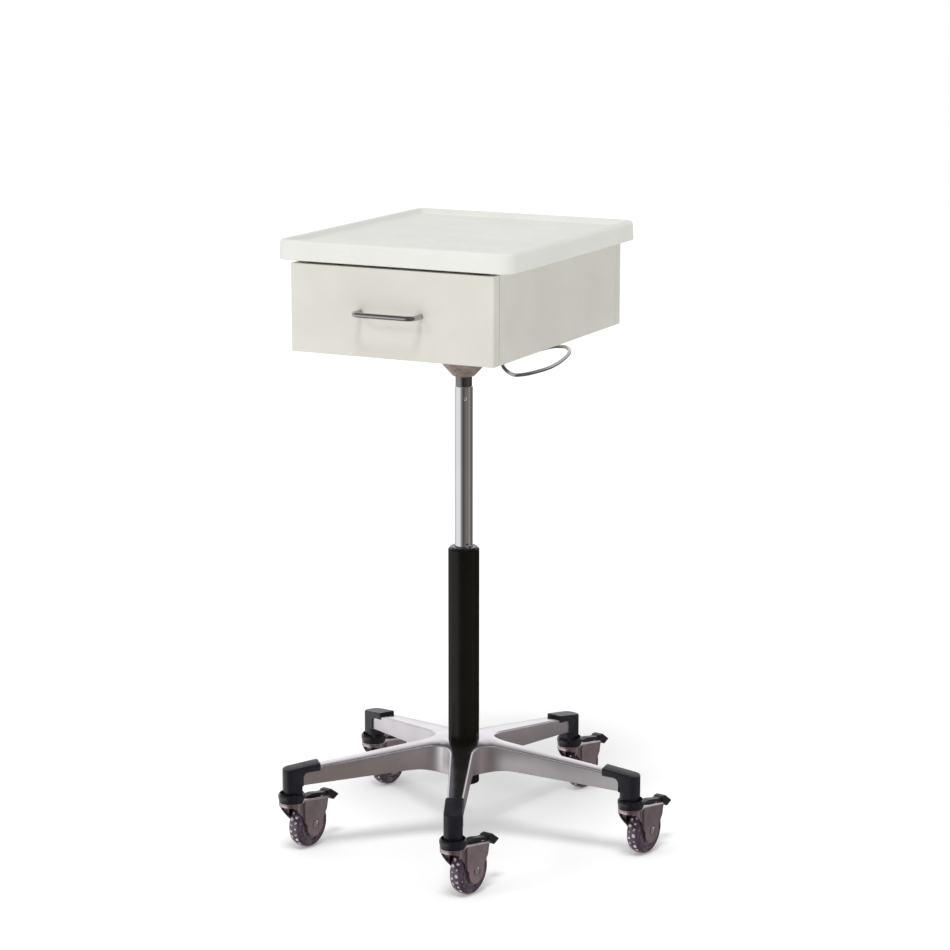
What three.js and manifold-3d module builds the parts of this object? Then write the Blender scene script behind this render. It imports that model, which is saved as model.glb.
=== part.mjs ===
// A height-adjustable medication cart: a small drawer cabinet on a gas-lift column
// that stands on a five-legged cast base with braked swivel casters.
//
// Millimetres, +Z up. The drawer opens towards -Y and +X is to the cart's right as a
// person stands in front of the drawer. The floor is z = 0 and the origin is the middle
// of the cart's footprint, so the column stands a little to one side of it.

import * as THREE from 'three';
import { mergeVertices } from 'three/addons/utils/BufferGeometryUtils.js';
import Module from 'manifold-3d';

const wasm = await Module();
wasm.setup();

// ---------------------------------------------------------------- driving dimensions

const GAP = 0.3; // between pieces that touch
const RUN = 0.4; // radial clearance of a turning or sliding piece

const COLUMN = { x: -23, y: -52 }; // where the column's axis stands on the floor

const BASE = {
  legAngles: [-66.7, 5.3, 77.3, 149.3, 221.3], // degrees, the front leg first
  casterRadius: 285.85,
  tipRadius: 294.5,
  taperEnd: 250,
  hubHalfWidth: 19.5,
  tipHalfWidth: 12.2,
  filletRadius: 80, // where a leg's straight edge starts
  hubTop: 171,
  hubBottom: 121,
  topSlope: 0.127,
  crest: { radius: 90, height: 128 }, // highest point of the underside
  bottomSlope: 0.074,
  wall: 4.5,
};

const SLEEVE = { radius: 25, wall: 2.4, bottom: 97, plate: 99.5, plateThickness: 3, top: 487 };
const BUSH = { length: 55, lip: 3.4 };
const CYLINDER = {
  radius: 14.3, wall: 1.9, bottom: 365, gland: 10, shoulder: 751,
  neckRadius: 13, neckTop: 808, chamberTop: 735,
};
const ROD = { radius: 5, pistonRadius: 12, pistonBottom: 377, pistonHeight: 10, shoulderRadius: 9 };
const BUTTON = { radius: 3.4, headRadius: 6, bottom: 745, headBottom: 812.5, top: 817.9 };

const CABINET = {
  halfWidth: 171, front: -244.5, rear: 222, bottom: 831, top: 969.5,
  board: 16, frontBoard: 19, frontTop: 966, floorBottom: 831.8,
};
const WORKTOP = {
  halfWidth: 198.7, front: -246, rear: 227, bottom: 969.8, top: 1000.4,
  corner: 22.7, lip: 13, recess: 8,
};
const PLATE = { halfWidth: 85, bottom: 826.5, thickness: 5, corner: 14, accessRadius: 12 };
const SOCKET = { bottom: 767.3, top: 826.2, flangeRadius: 46 };
const TRAY = { halfWidth: 141, rear: 188, bottom: 853, top: 940, wall: 3 };
const SLIDE = { bottom: 878, top: 918, rear: 190, sheet: 1.4 };
const HANDLE = { radius: 3.9, halfPitch: 51, height: 899, standoff: 28, bend: 11 };
const LEVER = { radius: 2.8, height: 803, pivotX: 54, pivotZ: 807, pinRadius: 2.5 };

const CASTER = {
  trailAngle: 81, // degrees; all five trail the same way, as after a push
  trail: 40.5,
  wheelRadius: 38.6,
  wheelFacets: 24,
  treadHalfWidth: 11.5,
  collarRadius: 21.5,
  forkHalfWidth: 16.1,
  forkSheet: 2.3,
  forkTop: 87,
  forkRear: { along: 75, height: 77 },
  bossRadius: 20,
  axleRadius: 4,
  stemRadius: 5,
  stemTop: 131,
};
const PEDAL = { halfWidth: 6.5, padHalfWidth: 8.5, slotHalfWidth: 7.5, pivotAlong: 28, pivotHeight: 84 };
const CAP = {
  inner: 240, outer: 299.5, bodyInner: 268.5, bottom: 98.5,
  halfWidth: 14.65, innerFlange: 5.6, outerFlange: 3.6, skirt: 9, corner: 12.5,
};

// ---------------------------------------------------------------- finishes

const finish = (color, roughness, metalness) =>
  new THREE.MeshStandardMaterial({ color, roughness, metalness });

const FINISHES = {
  laminate: () => finish(0xd9d8cf, 0.45, 0),
  worktop: () => finish(0xecece6, 0.5, 0),
  castAluminium: () => finish(0xb4b4ba, 0.35, 1),
  chrome: () => finish(0xd2d2d6, 0.12, 1),
  darkChrome: () => finish(0x8c8884, 0.15, 1),
  steel: () => finish(0x9c9a98, 0.3, 1),
  zincSteel: () => finish(0xa9a8a2, 0.4, 1),
  blackEnamel: () => finish(0x1c1b17, 0.25, 0),
  blackPlastic: () => finish(0x26262e, 0.45, 0),
  warmGrey: () => finish(0x968779, 0.45, 0),
  trayGrey: () => finish(0xc9c9c4, 0.5, 0),
  smokyTyre: () => finish(0x2b2730, 0.2, 0),
  rimGrey: () => finish(0x4a444a, 0.35, 0),
};

// ---------------------------------------------------------------- solid modelling helpers

const radians = THREE.MathUtils.degToRad;

/** A closed geometry as a solid, with its shared vertices merged. */
function solidOf(geometry) {
  const bare = geometry.clone();
  bare.deleteAttribute('normal');
  bare.deleteAttribute('uv');
  const merged = mergeVertices(bare, 1e-4);
  const corners = merged.index.array;
  const kept = [];
  for (let i = 0; i < corners.length; i += 3) {
    const [a, b, c] = [corners[i], corners[i + 1], corners[i + 2]];
    if (a !== b && b !== c && c !== a) kept.push(a, b, c);
  }
  return new wasm.Manifold(new wasm.Mesh({
    numProp: 3,
    vertProperties: new Float32Array(merged.attributes.position.array),
    triVerts: new Uint32Array(kept),
  }));
}

const join = (first, ...others) => others.reduce((sum, next) => sum.add(next), first);
const cut = (first, ...others) => others.reduce((rest, next) => rest.subtract(next), first);

/** A named mesh of a solid. */
function piece(name, solid, material) {
  const { vertProperties, triVerts } = solid.getMesh();
  const geometry = new THREE.BufferGeometry();
  geometry.setAttribute('position', new THREE.BufferAttribute(new Float32Array(vertProperties), 3));
  geometry.setIndex(new THREE.BufferAttribute(new Uint32Array(triVerts), 1));
  geometry.computeVertexNormals();
  const mesh = new THREE.Mesh(geometry, material);
  mesh.name = name;
  return mesh;
}

/** A solid of revolution about Z from (radius, height) points. */
function turned(points, segments, offset = 0) {
  const outline = points.map(([radius, height]) => new THREE.Vector2(radius, height));
  const geometry = new THREE.LatheGeometry(outline, segments).rotateX(Math.PI / 2).rotateZ(offset);
  const solid = solidOf(geometry);
  return solid.volume() > 0 ? solid : solidOf(flipped(geometry));
}

/** The same geometry with its faces turned over. */
function flipped(geometry) {
  const turnedOver = mergeVertices(geometry);
  const index = turnedOver.index;
  for (let i = 0; i < index.count; i += 3) {
    const held = index.getX(i);
    index.setX(i, index.getX(i + 1));
    index.setX(i + 1, held);
  }
  return turnedOver;
}

/** A tube or ring about Z. */
const ring = (inner, outer, bottom, top, segments) =>
  turned([[inner, bottom], [outer, bottom], [outer, top], [inner, top], [inner, bottom]], segments);

/** A round bar about Z. */
const bar = (radius, bottom, top, segments) =>
  turned([[0, bottom], [radius, bottom], [radius, top], [0, top]], segments);

/** A block between two corners. */
function block([x0, y0, z0], [x1, y1, z1]) {
  const geometry = new THREE.BoxGeometry(x1 - x0, y1 - y0, z1 - z0);
  return solidOf(geometry.translate((x0 + x1) / 2, (y0 + y1) / 2, (z0 + z1) / 2));
}

/** A closed outline through (x, y) points. */
const outlineOf = (points) => new THREE.Shape(points.map(([x, y]) => new THREE.Vector2(x, y)));

/** A rectangle with round corners. */
function roundedRectangle(x0, y0, x1, y1, radius) {
  const shape = new THREE.Shape();
  shape.absarc(x1 - radius, y1 - radius, radius, 0, Math.PI / 2);
  shape.absarc(x0 + radius, y1 - radius, radius, Math.PI / 2, Math.PI);
  shape.absarc(x0 + radius, y0 + radius, radius, Math.PI, Math.PI * 1.5);
  shape.absarc(x1 - radius, y0 + radius, radius, Math.PI * 1.5, Math.PI * 2);
  return shape;
}

/** An outline in plan, raised from one height to another. */
function upright(shape, bottom, top, curveSegments = 2) {
  const geometry = new THREE.ExtrudeGeometry(shape, {
    depth: top - bottom, bevelEnabled: false, curveSegments,
  });
  return solidOf(geometry.translate(0, 0, bottom));
}

/** A side outline of (run, height) points, made a slab centred across the run. */
function slab(shape, halfWidth, runAxis, curveSegments = 3) {
  const geometry = new THREE.ExtrudeGeometry(shape, {
    depth: 2 * halfWidth, bevelEnabled: false, curveSegments,
  }).translate(0, 0, -halfWidth);
  const across = runAxis === 'x' ? new THREE.Vector3(0, -1, 0) : new THREE.Vector3(1, 0, 0);
  const run = runAxis === 'x' ? new THREE.Vector3(1, 0, 0) : new THREE.Vector3(0, 1, 0);
  const turn = new THREE.Matrix4().makeBasis(run, new THREE.Vector3(0, 0, 1), across);
  return solidOf(geometry.applyMatrix4(turn));
}

/** A round wire along a curve. */
function wire(path, radius, steps, sides) {
  const section = new THREE.Shape();
  section.absarc(0, 0, radius, 0, Math.PI * 2);
  const geometry = new THREE.ExtrudeGeometry(section, {
    steps, curveSegments: sides / 2, bevelEnabled: false, extrudePath: path,
  });
  const solid = solidOf(geometry);
  return solid.volume() > 0 ? solid : solidOf(flipped(geometry));
}

/** A round bar along X or Y through a point. */
function crossBar(axis, centre, radius, halfLength, segments) {
  const geometry = new THREE.CylinderGeometry(radius, radius, 2 * halfLength, segments);
  if (axis === 'x') geometry.rotateZ(Math.PI / 2);
  return solidOf(geometry.translate(...centre));
}

// ---------------------------------------------------------------- five-legged base

const legTop = (radius) => BASE.hubTop - BASE.topSlope * (radius - 35);
const legBottom = (radius) => BASE.crest.height - BASE.bottomSlope * (radius - BASE.crest.radius);

function legHalfWidth(radius) {
  const share = Math.min(1, (radius - 40) / (BASE.taperEnd - 40));
  return THREE.MathUtils.lerp(BASE.hubHalfWidth, BASE.tipHalfWidth, share);
}

/** The star-shaped plan of the hub and its legs, with round webs between them. */
function starPlan() {
  const shape = new THREE.Shape();
  const at = (angle, radius, side) => new THREE.Vector2(radius, side).rotateAround(new THREE.Vector2(), angle);
  const root = BASE.filletRadius;
  BASE.legAngles.forEach((degrees, k) => {
    const angle = radians(degrees);
    const edge = [
      at(angle, root, -legHalfWidth(root)),
      at(angle, BASE.taperEnd, -BASE.tipHalfWidth),
      at(angle, BASE.tipRadius, -BASE.tipHalfWidth),
      at(angle, BASE.tipRadius, BASE.tipHalfWidth),
      at(angle, BASE.taperEnd, BASE.tipHalfWidth),
      at(angle, root, legHalfWidth(root)),
    ];
    edge.forEach((point, i) => {
      if (k === 0 && i === 0) shape.moveTo(point.x, point.y);
      else shape.lineTo(point.x, point.y);
    });
    const next = radians(BASE.legAngles[(k + 1) % 5] + (k === 4 ? 360 : 0));
    const inner = at((angle + next) / 2, 30, 0);
    const end = at(next, root, -legHalfWidth(root));
    shape.quadraticCurveTo(inner.x, inner.y, end.x, end.y);
  });
  return shape;
}

/** The cast base: hub, five channel legs, the column's bore and the caster sockets. */
function baseSpider() {
  const { crest, hubTop, hubBottom, tipRadius } = BASE;
  const outer = tipRadius + 8;
  const envelope = turned([
    [0, hubBottom], [46, hubBottom], [crest.radius - 22, crest.height - 3],
    [crest.radius, crest.height], [outer, legBottom(outer)], [outer, legTop(outer)],
    [42, legTop(42)], [36, hubTop + 0.6], [0, hubTop + 0.6],
  ], 45);
  let body = upright(starPlan(), 90, 190, 4).intersect(envelope);
  body = cut(body, bar(SLEEVE.radius + GAP, 100, 200, 28));
  BASE.legAngles.forEach((degrees) => {
    const turnLeg = (solid) => solid.rotate([0, 0, degrees]);
    const [start, end] = [62, 262];
    const channel = upright(outlineOf([
      [start, -legHalfWidth(start) + BASE.wall], [end, -BASE.tipHalfWidth + BASE.wall],
      [end, BASE.tipHalfWidth - BASE.wall], [start, legHalfWidth(start) - BASE.wall],
    ]), 100, 200);
    const below = slab(outlineOf([
      [0, 90], [300, 90], [300, legTop(300) - BASE.wall], [0, legTop(0) - BASE.wall],
    ]), 30, 'x');
    const stemBore = bar(CASTER.stemRadius + RUN, 90, CASTER.stemTop + 1, 16)
      .translate([BASE.casterRadius, 0, 0]);
    body = cut(body, turnLeg(channel.intersect(below)), turnLeg(stemBore));
  });
  return piece('base_spider', body, FINISHES.castAluminium());
}

/** The moulded cap over a leg's end, which the caster's stem passes through. */
function legCap(number) {
  const { inner, outer, bodyInner, bottom, halfWidth, skirt, corner } = CAP;
  const top = (radius) => legTop(radius) + THREE.MathUtils.mapLinear(
    radius, inner, outer, CAP.innerFlange, CAP.outerFlange,
  );
  const side = new THREE.Shape();
  side.moveTo(inner, top(inner) - skirt - 3);
  side.lineTo(bodyInner - 9, top(bodyInner - 9) - skirt - 2);
  side.quadraticCurveTo(bodyInner, top(bodyInner) - skirt, bodyInner, top(bodyInner) - 21);
  side.lineTo(bodyInner, bottom);
  side.lineTo(outer, bottom);
  side.lineTo(outer, top(outer) - 4);
  side.quadraticCurveTo(outer, top(outer), outer - 5, top(outer - 5));
  side.lineTo(inner + 4, top(inner + 4));
  side.quadraticCurveTo(inner, top(inner), inner, top(inner) - 3);
  const plan = roundedRectangle(inner, -halfWidth, outer, halfWidth, corner);
  const boss = roundedRectangle(bodyInner, -halfWidth, outer, halfWidth, corner);
  const shell = slab(side, halfWidth + 1, 'x').intersect(upright(plan, 90, 160));
  const trimmed = cut(shell, cut(
    block([inner - 5, -20, 90], [outer, 20, legBottom(bodyInner) - GAP]),
    upright(boss, 80, 160),
  ));
  const pocket = slab(outlineOf([
    [inner - 20, legBottom(inner - 20) - GAP], [BASE.tipRadius + GAP, legBottom(BASE.tipRadius) - GAP],
    [BASE.tipRadius + GAP, legTop(BASE.tipRadius) + GAP], [inner - 20, legTop(inner - 20) + GAP],
  ]), BASE.tipHalfWidth + GAP + 0.2, 'x');
  const stemBore = bar(CASTER.stemRadius + RUN, 80, 120, 16).translate([BASE.casterRadius, 0, 0]);
  return piece(`leg_cap_${number}`, cut(trimmed, pocket, stemBore), FINISHES.blackPlastic());
}

// ---------------------------------------------------------------- casters
// A caster is modelled at its own stem axis, trailing towards +Y, with its axle along X.

/** The stem, with the moulded dust collar that sits on the fork. */
function swivelHead(number) {
  const { collarRadius, forkTop, stemRadius, stemTop } = CASTER;
  const seat = forkTop + GAP;
  const head = turned([
    [0, seat], [collarRadius - 2, seat], [collarRadius, seat + 3], [collarRadius, seat + 11],
    [collarRadius - 1.5, seat + 14], [18.6, seat + 14], [18.2, seat + 9.5], [stemRadius, seat + 9.5],
    [stemRadius, stemTop], [0, stemTop],
  ], 18);
  return piece(`swivel_head_${number}`, head, FINISHES.blackPlastic());
}

/** The pressed-steel fork: a round front under the collar, and two ears down to the axle. */
function fork(number) {
  const { forkHalfWidth, forkSheet, forkTop, forkRear, bossRadius, trail, wheelRadius } = CASTER;
  const side = new THREE.Shape();
  side.moveTo(-22, forkTop);
  side.lineTo(-22, forkTop - 6.5);
  side.lineTo(-14, forkTop - 7);
  side.lineTo(-7, forkTop - 11);
  side.lineTo(13, 50);
  side.absarc(trail, wheelRadius, bossRadius, Math.PI * 0.96, Math.PI * 2.08);
  side.lineTo(forkRear.along - 5, 56);
  side.lineTo(forkRear.along, forkRear.height);
  side.lineTo(16, forkTop);
  const outer = join(
    bar(20.5, 10, 120, 20),
    block([-forkHalfWidth, 0, 10], [forkHalfWidth, 90, 120]),
  ).intersect(slab(side, 25, 'y', 5));
  const inside = join(
    bar(20.5 - forkSheet, 0, 120, 20),
    block([-forkHalfWidth + forkSheet, 0, 0], [forkHalfWidth - forkSheet, 90, 120]),
  ).intersect(slab(outlineOf([
    [-30, 0], [90, 0], [90, forkRear.height - forkSheet - 3],
    [16, forkTop - forkSheet], [-30, forkTop - forkSheet],
  ]), 25, 'y'));
  const slot = block([-PEDAL.slotHalfWidth, PEDAL.pivotAlong - 5, 60], [PEDAL.slotHalfWidth, 90, 100]);
  const axleHole = crossBar('x', [0, trail, wheelRadius], CASTER.axleRadius + GAP, 30, 16);
  return piece(`fork_${number}`, cut(outer, inside, slot, axleHole), FINISHES.steel());
}

/** The foot pedal that presses the brake, hinged between the fork's cheeks. */
function brakePedal(number) {
  const side = new THREE.Shape();
  side.moveTo(24, 80);
  side.lineTo(24, 87);
  side.quadraticCurveTo(45, 88.5, 62, 84.5);
  side.quadraticCurveTo(74, 81, 82, 82.5);
  side.lineTo(93, 83);
  side.lineTo(112, 69.5);
  side.lineTo(98, 63.5);
  side.quadraticCurveTo(86, 74, 70, 77.5);
  side.lineTo(42, 80);
  const arm = slab(side, PEDAL.halfWidth, 'y');
  const pad = slab(side, PEDAL.padHalfWidth, 'y')
    .intersect(block([-20, CASTER.forkRear.along + 8, 50], [20, 130, 100]));
  return piece(`brake_pedal_${number}`, join(arm, pad), FINISHES.blackPlastic());
}

/** Turns a solid of revolution about Z into one about the caster's axle. */
const ontoAxle = (solid) => solid.rotate([0, 90, 0]).translate([0, CASTER.trail, CASTER.wheelRadius]);

/** The wheel's core, with a hub that turns on the axle. */
function wheelCore(number) {
  const core = turned([
    [CASTER.axleRadius + RUN, -13.2], [10, -13.2], [11, -11.5], [18, -10], [25.5, -9.5],
    [25.5, 9.5], [18, 10], [11, 11.5], [10, 13.2], [CASTER.axleRadius + RUN, 13.2],
    [CASTER.axleRadius + RUN, -13.2],
  ], 16);
  return piece(`wheel_core_${number}`, ontoAxle(core), FINISHES.rimGrey());
}

/** The tyre; its flats stand the cart on the floor. */
function tyre(number) {
  const { wheelRadius, wheelFacets, treadHalfWidth } = CASTER;
  const facet = Math.PI / wheelFacets;
  const rim = wheelRadius / Math.cos(facet);
  const inner = (25.5 + GAP) / Math.cos(facet);
  const shape = turned([
    [inner, -treadHalfWidth + 1.5], [rim - 6, -treadHalfWidth], [rim - 2, -treadHalfWidth + 2],
    [rim, -treadHalfWidth + 6], [rim, treadHalfWidth - 6], [rim - 2, treadHalfWidth - 2],
    [rim - 6, treadHalfWidth], [inner, treadHalfWidth - 1.5], [inner, -treadHalfWidth + 1.5],
  ], wheelFacets, facet);
  return piece(`tyre_${number}`, ontoAxle(shape), FINISHES.smokyTyre());
}

/** The axle, riveted over outside both cheeks of the fork. */
function axleRivet(number) {
  const out = CASTER.forkHalfWidth + GAP;
  const rivet = turned([
    [0, -out - 2.6], [3.5, -out - 2], [6.5, -out], [CASTER.axleRadius, -out],
    [CASTER.axleRadius, out], [6.5, out], [3.5, out + 2], [0, out + 2.6],
  ], 12);
  return piece(`axle_rivet_${number}`, ontoAxle(rivet), FINISHES.zincSteel());
}

/** One leg's cap and caster. */
function casterAndCap(index) {
  const number = index + 1;
  const angle = radians(BASE.legAngles[index]);
  const leg = new THREE.Group();
  leg.rotation.z = angle;
  leg.add(legCap(number));
  const caster = new THREE.Group();
  caster.position.set(Math.cos(angle) * BASE.casterRadius, Math.sin(angle) * BASE.casterRadius, 0);
  caster.rotation.z = radians(CASTER.trailAngle - 90);
  caster.add(
    swivelHead(number), fork(number), brakePedal(number),
    wheelCore(number), tyre(number), axleRivet(number),
  );
  return [leg, caster];
}

// ---------------------------------------------------------------- gas-lift column

/** The outer tube, with the plate across its foot that the piston rod hangs from. */
function columnSleeve() {
  const { radius, wall, bottom, plate, plateThickness, top } = SLEEVE;
  const bore = radius - wall;
  const tube = turned([
    [ROD.radius + RUN, plate], [bore, plate], [bore, bottom], [radius, bottom],
    [radius, top - 3], [radius - 1.2, top], [bore, top], [bore, plate + plateThickness],
    [ROD.radius + RUN, plate + plateThickness], [ROD.radius + RUN, plate],
  ], 28);
  return piece('column_sleeve', tube, FINISHES.blackEnamel());
}

/** The plastic bush in the sleeve's mouth that guides the sliding tube. */
function guideBush() {
  const { radius, wall, top } = SLEEVE;
  const fit = radius - wall - GAP;
  const slide = CYLINDER.radius + RUN;
  const bush = turned([
    [slide, top - BUSH.length], [fit, top - BUSH.length], [fit, top + GAP], [radius - 2, top + GAP],
    [radius - 3, top + BUSH.lip], [slide + 1, top + BUSH.lip], [slide, top + BUSH.lip - 1],
    [slide, top - BUSH.length],
  ], 24);
  return piece('guide_bush', bush, FINISHES.blackPlastic());
}

/** The bearing between the piston rod's shoulder and the sleeve's foot plate. */
function thrustBearing() {
  const seat = SLEEVE.plate + SLEEVE.plateThickness + GAP;
  const race = ring(ROD.radius + RUN, 11, seat, seat + 4.2, 20);
  return piece('thrust_bearing', race, FINISHES.zincSteel());
}

/** The piston rod, necked at its foot for the clip, with the piston at its head. */
function pistonRod() {
  const { radius, pistonRadius, pistonBottom, pistonHeight, shoulderRadius } = ROD;
  const shoulder = SLEEVE.plate + SLEEVE.plateThickness + GAP + 4.2 + GAP;
  const rod = turned([
    [0, SLEEVE.bottom + 0.2], [radius - 0.2, SLEEVE.bottom + 0.2], [radius - 0.2, SLEEVE.bottom + 0.8],
    [radius - 1.6, SLEEVE.bottom + 0.8], [radius - 1.6, SLEEVE.plate - 0.1], [radius, SLEEVE.plate - 0.1],
    [radius, shoulder], [shoulderRadius, shoulder], [shoulderRadius, shoulder + 2], [radius, shoulder + 2],
    [radius, pistonBottom], [pistonRadius, pistonBottom],
    [pistonRadius, pistonBottom + pistonHeight], [0, pistonBottom + pistonHeight],
  ], 14);
  return piece('piston_rod', rod, FINISHES.steel());
}

/** The open clip that holds the piston rod under the foot plate. */
function rodClip() {
  const clip = ring(ROD.radius - 1.6 + GAP, 9, SLEEVE.plate - 1.5, SLEEVE.plate - GAP, 20);
  return piece('rod_clip', cut(clip, block([0, -2.5, 90], [20, 2.5, 110])), FINISHES.steel());
}

/** The pressure tube that slides in the sleeve and carries the cabinet. */
function gasCylinder() {
  const { radius, wall, bottom, gland, shoulder, neckRadius, neckTop, chamberTop } = CYLINDER;
  const bore = radius - wall;
  const tube = turned([
    [ROD.radius + RUN, bottom], [radius - 1, bottom], [radius, bottom + 1], [radius, shoulder - 1.2],
    [neckRadius, shoulder], [neckRadius, neckTop], [BUTTON.radius + RUN, neckTop],
    [BUTTON.radius + RUN, chamberTop], [bore, chamberTop], [bore, bottom + gland],
    [ROD.radius + RUN, bottom + gland], [ROD.radius + RUN, bottom],
  ], 24);
  const dimple = (degrees, height) => crossBar('x', [radius + 4, 0, height], 2.2, 5, 8)
    .rotate([0, 0, degrees]);
  return piece('gas_cylinder', cut(tube, dimple(-55, 733), dimple(-39, 494)), FINISHES.chrome());
}

/** The valve pin that the release lever presses. */
function releaseButton() {
  const pin = turned([
    [0, BUTTON.bottom], [BUTTON.radius, BUTTON.bottom], [BUTTON.radius, BUTTON.headBottom],
    [BUTTON.headRadius, BUTTON.headBottom], [BUTTON.headRadius, BUTTON.top - 1],
    [BUTTON.headRadius - 1, BUTTON.top], [0, BUTTON.top],
  ], 16);
  return piece('release_button', pin, FINISHES.zincSteel());
}

// ---------------------------------------------------------------- under the cabinet

/** The bell-shaped socket that grips the cylinder's neck, with a window for the lever. */
function socketCone() {
  const { bottom, top, flangeRadius } = SOCKET;
  const bore = CYLINDER.neckRadius + GAP;
  const bell = turned([
    [bore, bottom], [bore + 2.6, bottom], [18, bottom + 1], [33, bottom + 17.5], [38, bottom + 26],
    [40, bottom + 34], [40, top - 8], [flangeRadius, top - 5], [flangeRadius, top],
    [bore, top], [bore, bottom],
  ], 24);
  const window = block([5, -11.5, 808.3], [60, 11.5, 840]);
  const room = block([-11, -11.5, 808.3], [6, 11.5, 840]);
  return piece('socket_cone', cut(bell, window, room), FINISHES.warmGrey());
}

/** The steel plate bolted under the cabinet's floor. */
function mountPlate() {
  const { halfWidth, bottom, thickness, corner, accessRadius } = PLATE;
  const plate = upright(
    roundedRectangle(-halfWidth, -halfWidth, halfWidth, halfWidth, corner), bottom, bottom + thickness,
  );
  const access = bar(accessRadius, bottom - 5, bottom + 20, 20);
  return piece('mount_plate', cut(plate, access), FINISHES.zincSteel());
}

/** The bracket that carries the release lever's pivot pin. */
function releaseBracket() {
  const top = PLATE.bottom - GAP;
  const [front, back] = [LEVER.pivotX - 6, LEVER.pivotX + 6];
  const web = block([front, -15.5, top - 3], [back, 15.5, top]);
  const ear = (side) => block(
    [front, side * 14 - 1.5, LEVER.pivotZ - 5], [back, side * 14 + 1.5, top - 1],
  );
  const hole = crossBar('y', [LEVER.pivotX, 0, LEVER.pivotZ], LEVER.pinRadius + GAP, 20, 14);
  return piece('release_bracket', cut(join(web, ear(-1), ear(1)), hole), FINISHES.zincSteel());
}

/** The pin that the release lever tips on. */
function leverPivotPin() {
  const pin = crossBar('y', [LEVER.pivotX, 0, LEVER.pivotZ], LEVER.pinRadius, 16.5, 12);
  return piece('lever_pivot_pin', pin, FINISHES.zincSteel());
}

/** The release lever: a bent wire loop out to the right, with a paddle over the valve pin. */
function releaseLever() {
  const { height } = LEVER;
  const points = [
    [-5, -6, 822], [18, -6, 821], [40, -6, 817], [60, -6.5, 813], [80, -30, 807], [111, -86, height],
    [147, -133, height], [157, -139, height], [166, -129, height], [174, -90, height],
    [175, -50, height], [164, 17, height], [145, 83, height], [127, 117, height],
    [115, 128, height], [103, 125, height], [97, 112, height], [95, 78, height + 1],
    [82, 34, 807], [60, 6.5, 813], [40, 6, 817], [18, 6, 821], [-5, 6, 822],
  ].map(([x, y, z]) => new THREE.Vector3(x, y, z));
  const loop = wire(new THREE.CatmullRomCurve3(points), LEVER.radius, 56, 8);
  const paddle = upright(roundedRectangle(-8, -9, 8, 9, 3), BUTTON.top + GAP, 821.5);
  return piece('release_lever', join(loop, paddle), FINISHES.chrome());
}

// ---------------------------------------------------------------- cabinet and drawer

/** The cabinet's boards and the moulded worktop. */
function cabinet() {
  const { halfWidth, front, rear, bottom, top, board, frontBoard, floorBottom } = CABINET;
  const sideFront = front + frontBoard + 1;
  const sideRear = rear - board - GAP;
  const inner = halfWidth - board;
  const side = (sign) => {
    const [x0, x1] = sign < 0 ? [-halfWidth, -inner] : [inner, halfWidth];
    return block([x0, sideFront, bottom], [x1, sideRear, top]);
  };
  const floor = block(
    [-inner + GAP, sideFront, floorBottom], [inner - GAP, sideRear, floorBottom + board],
  );
  const back = block([-halfWidth, rear - board, bottom], [halfWidth, rear, top]);
  return [
    piece('cabinet_side_left', side(-1), FINISHES.laminate()),
    piece('cabinet_side_right', side(1), FINISHES.laminate()),
    piece('cabinet_bottom', floor, FINISHES.laminate()),
    piece('cabinet_back', back, FINISHES.laminate()),
    worktop(),
  ];
}

/** The worktop, with a raised lip round a shallow tray. */
function worktop() {
  const { halfWidth, front, rear, bottom, top, corner, lip, recess } = WORKTOP;
  const slabTop = upright(roundedRectangle(-halfWidth, front, halfWidth, rear, corner), bottom, top, 6);
  const tray = upright(
    roundedRectangle(-halfWidth + lip, front + lip, halfWidth - lip, rear - lip, corner - lip),
    top - recess, top + 5,
  );
  return piece('worktop', cut(slabTop, tray), FINISHES.worktop());
}

/** The drawer's front board, tray, handle and runners. */
function drawer() {
  const { halfWidth, front, bottom, frontBoard, frontTop } = CABINET;
  const board = block([-halfWidth, front, bottom], [halfWidth, front + frontBoard, frontTop]);
  const behind = front + frontBoard + GAP;
  const { halfWidth: trayHalf, rear, bottom: trayBottom, top: trayTop, wall } = TRAY;
  const shell = block([-trayHalf, behind, trayBottom], [trayHalf, rear, trayTop]);
  const hollow = block(
    [-trayHalf + wall, behind + wall, trayBottom + wall], [trayHalf - wall, rear - wall, trayTop + 10],
  );
  return [
    piece('drawer_front', board, FINISHES.laminate()),
    piece('drawer_tray', cut(shell, hollow), FINISHES.trayGrey()),
    drawerHandle(),
    ...slides(behind),
  ];
}

/** A wire pull with bent ends. */
function drawerHandle() {
  const { radius, halfPitch, height, standoff, bend } = HANDLE;
  const face = CABINET.front - GAP;
  const barY = CABINET.front - standoff;
  const at = (x, y, z) => new THREE.Vector3(x, y, z);
  const path = new THREE.CurvePath();
  path.add(new THREE.LineCurve3(at(-halfPitch, face, height), at(-halfPitch, barY + bend, height)));
  path.add(new THREE.QuadraticBezierCurve3(
    at(-halfPitch, barY + bend, height), at(-halfPitch, barY, height), at(-halfPitch + bend, barY, height),
  ));
  path.add(new THREE.LineCurve3(
    at(-halfPitch + bend, barY, height), at(halfPitch - bend, barY, height),
  ));
  path.add(new THREE.QuadraticBezierCurve3(
    at(halfPitch - bend, barY, height), at(halfPitch, barY, height), at(halfPitch, barY + bend, height),
  ));
  path.add(new THREE.LineCurve3(at(halfPitch, barY + bend, height), at(halfPitch, face, height)));
  return piece('drawer_handle', wire(path, radius, 28, 10), FINISHES.darkChrome());
}

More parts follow.
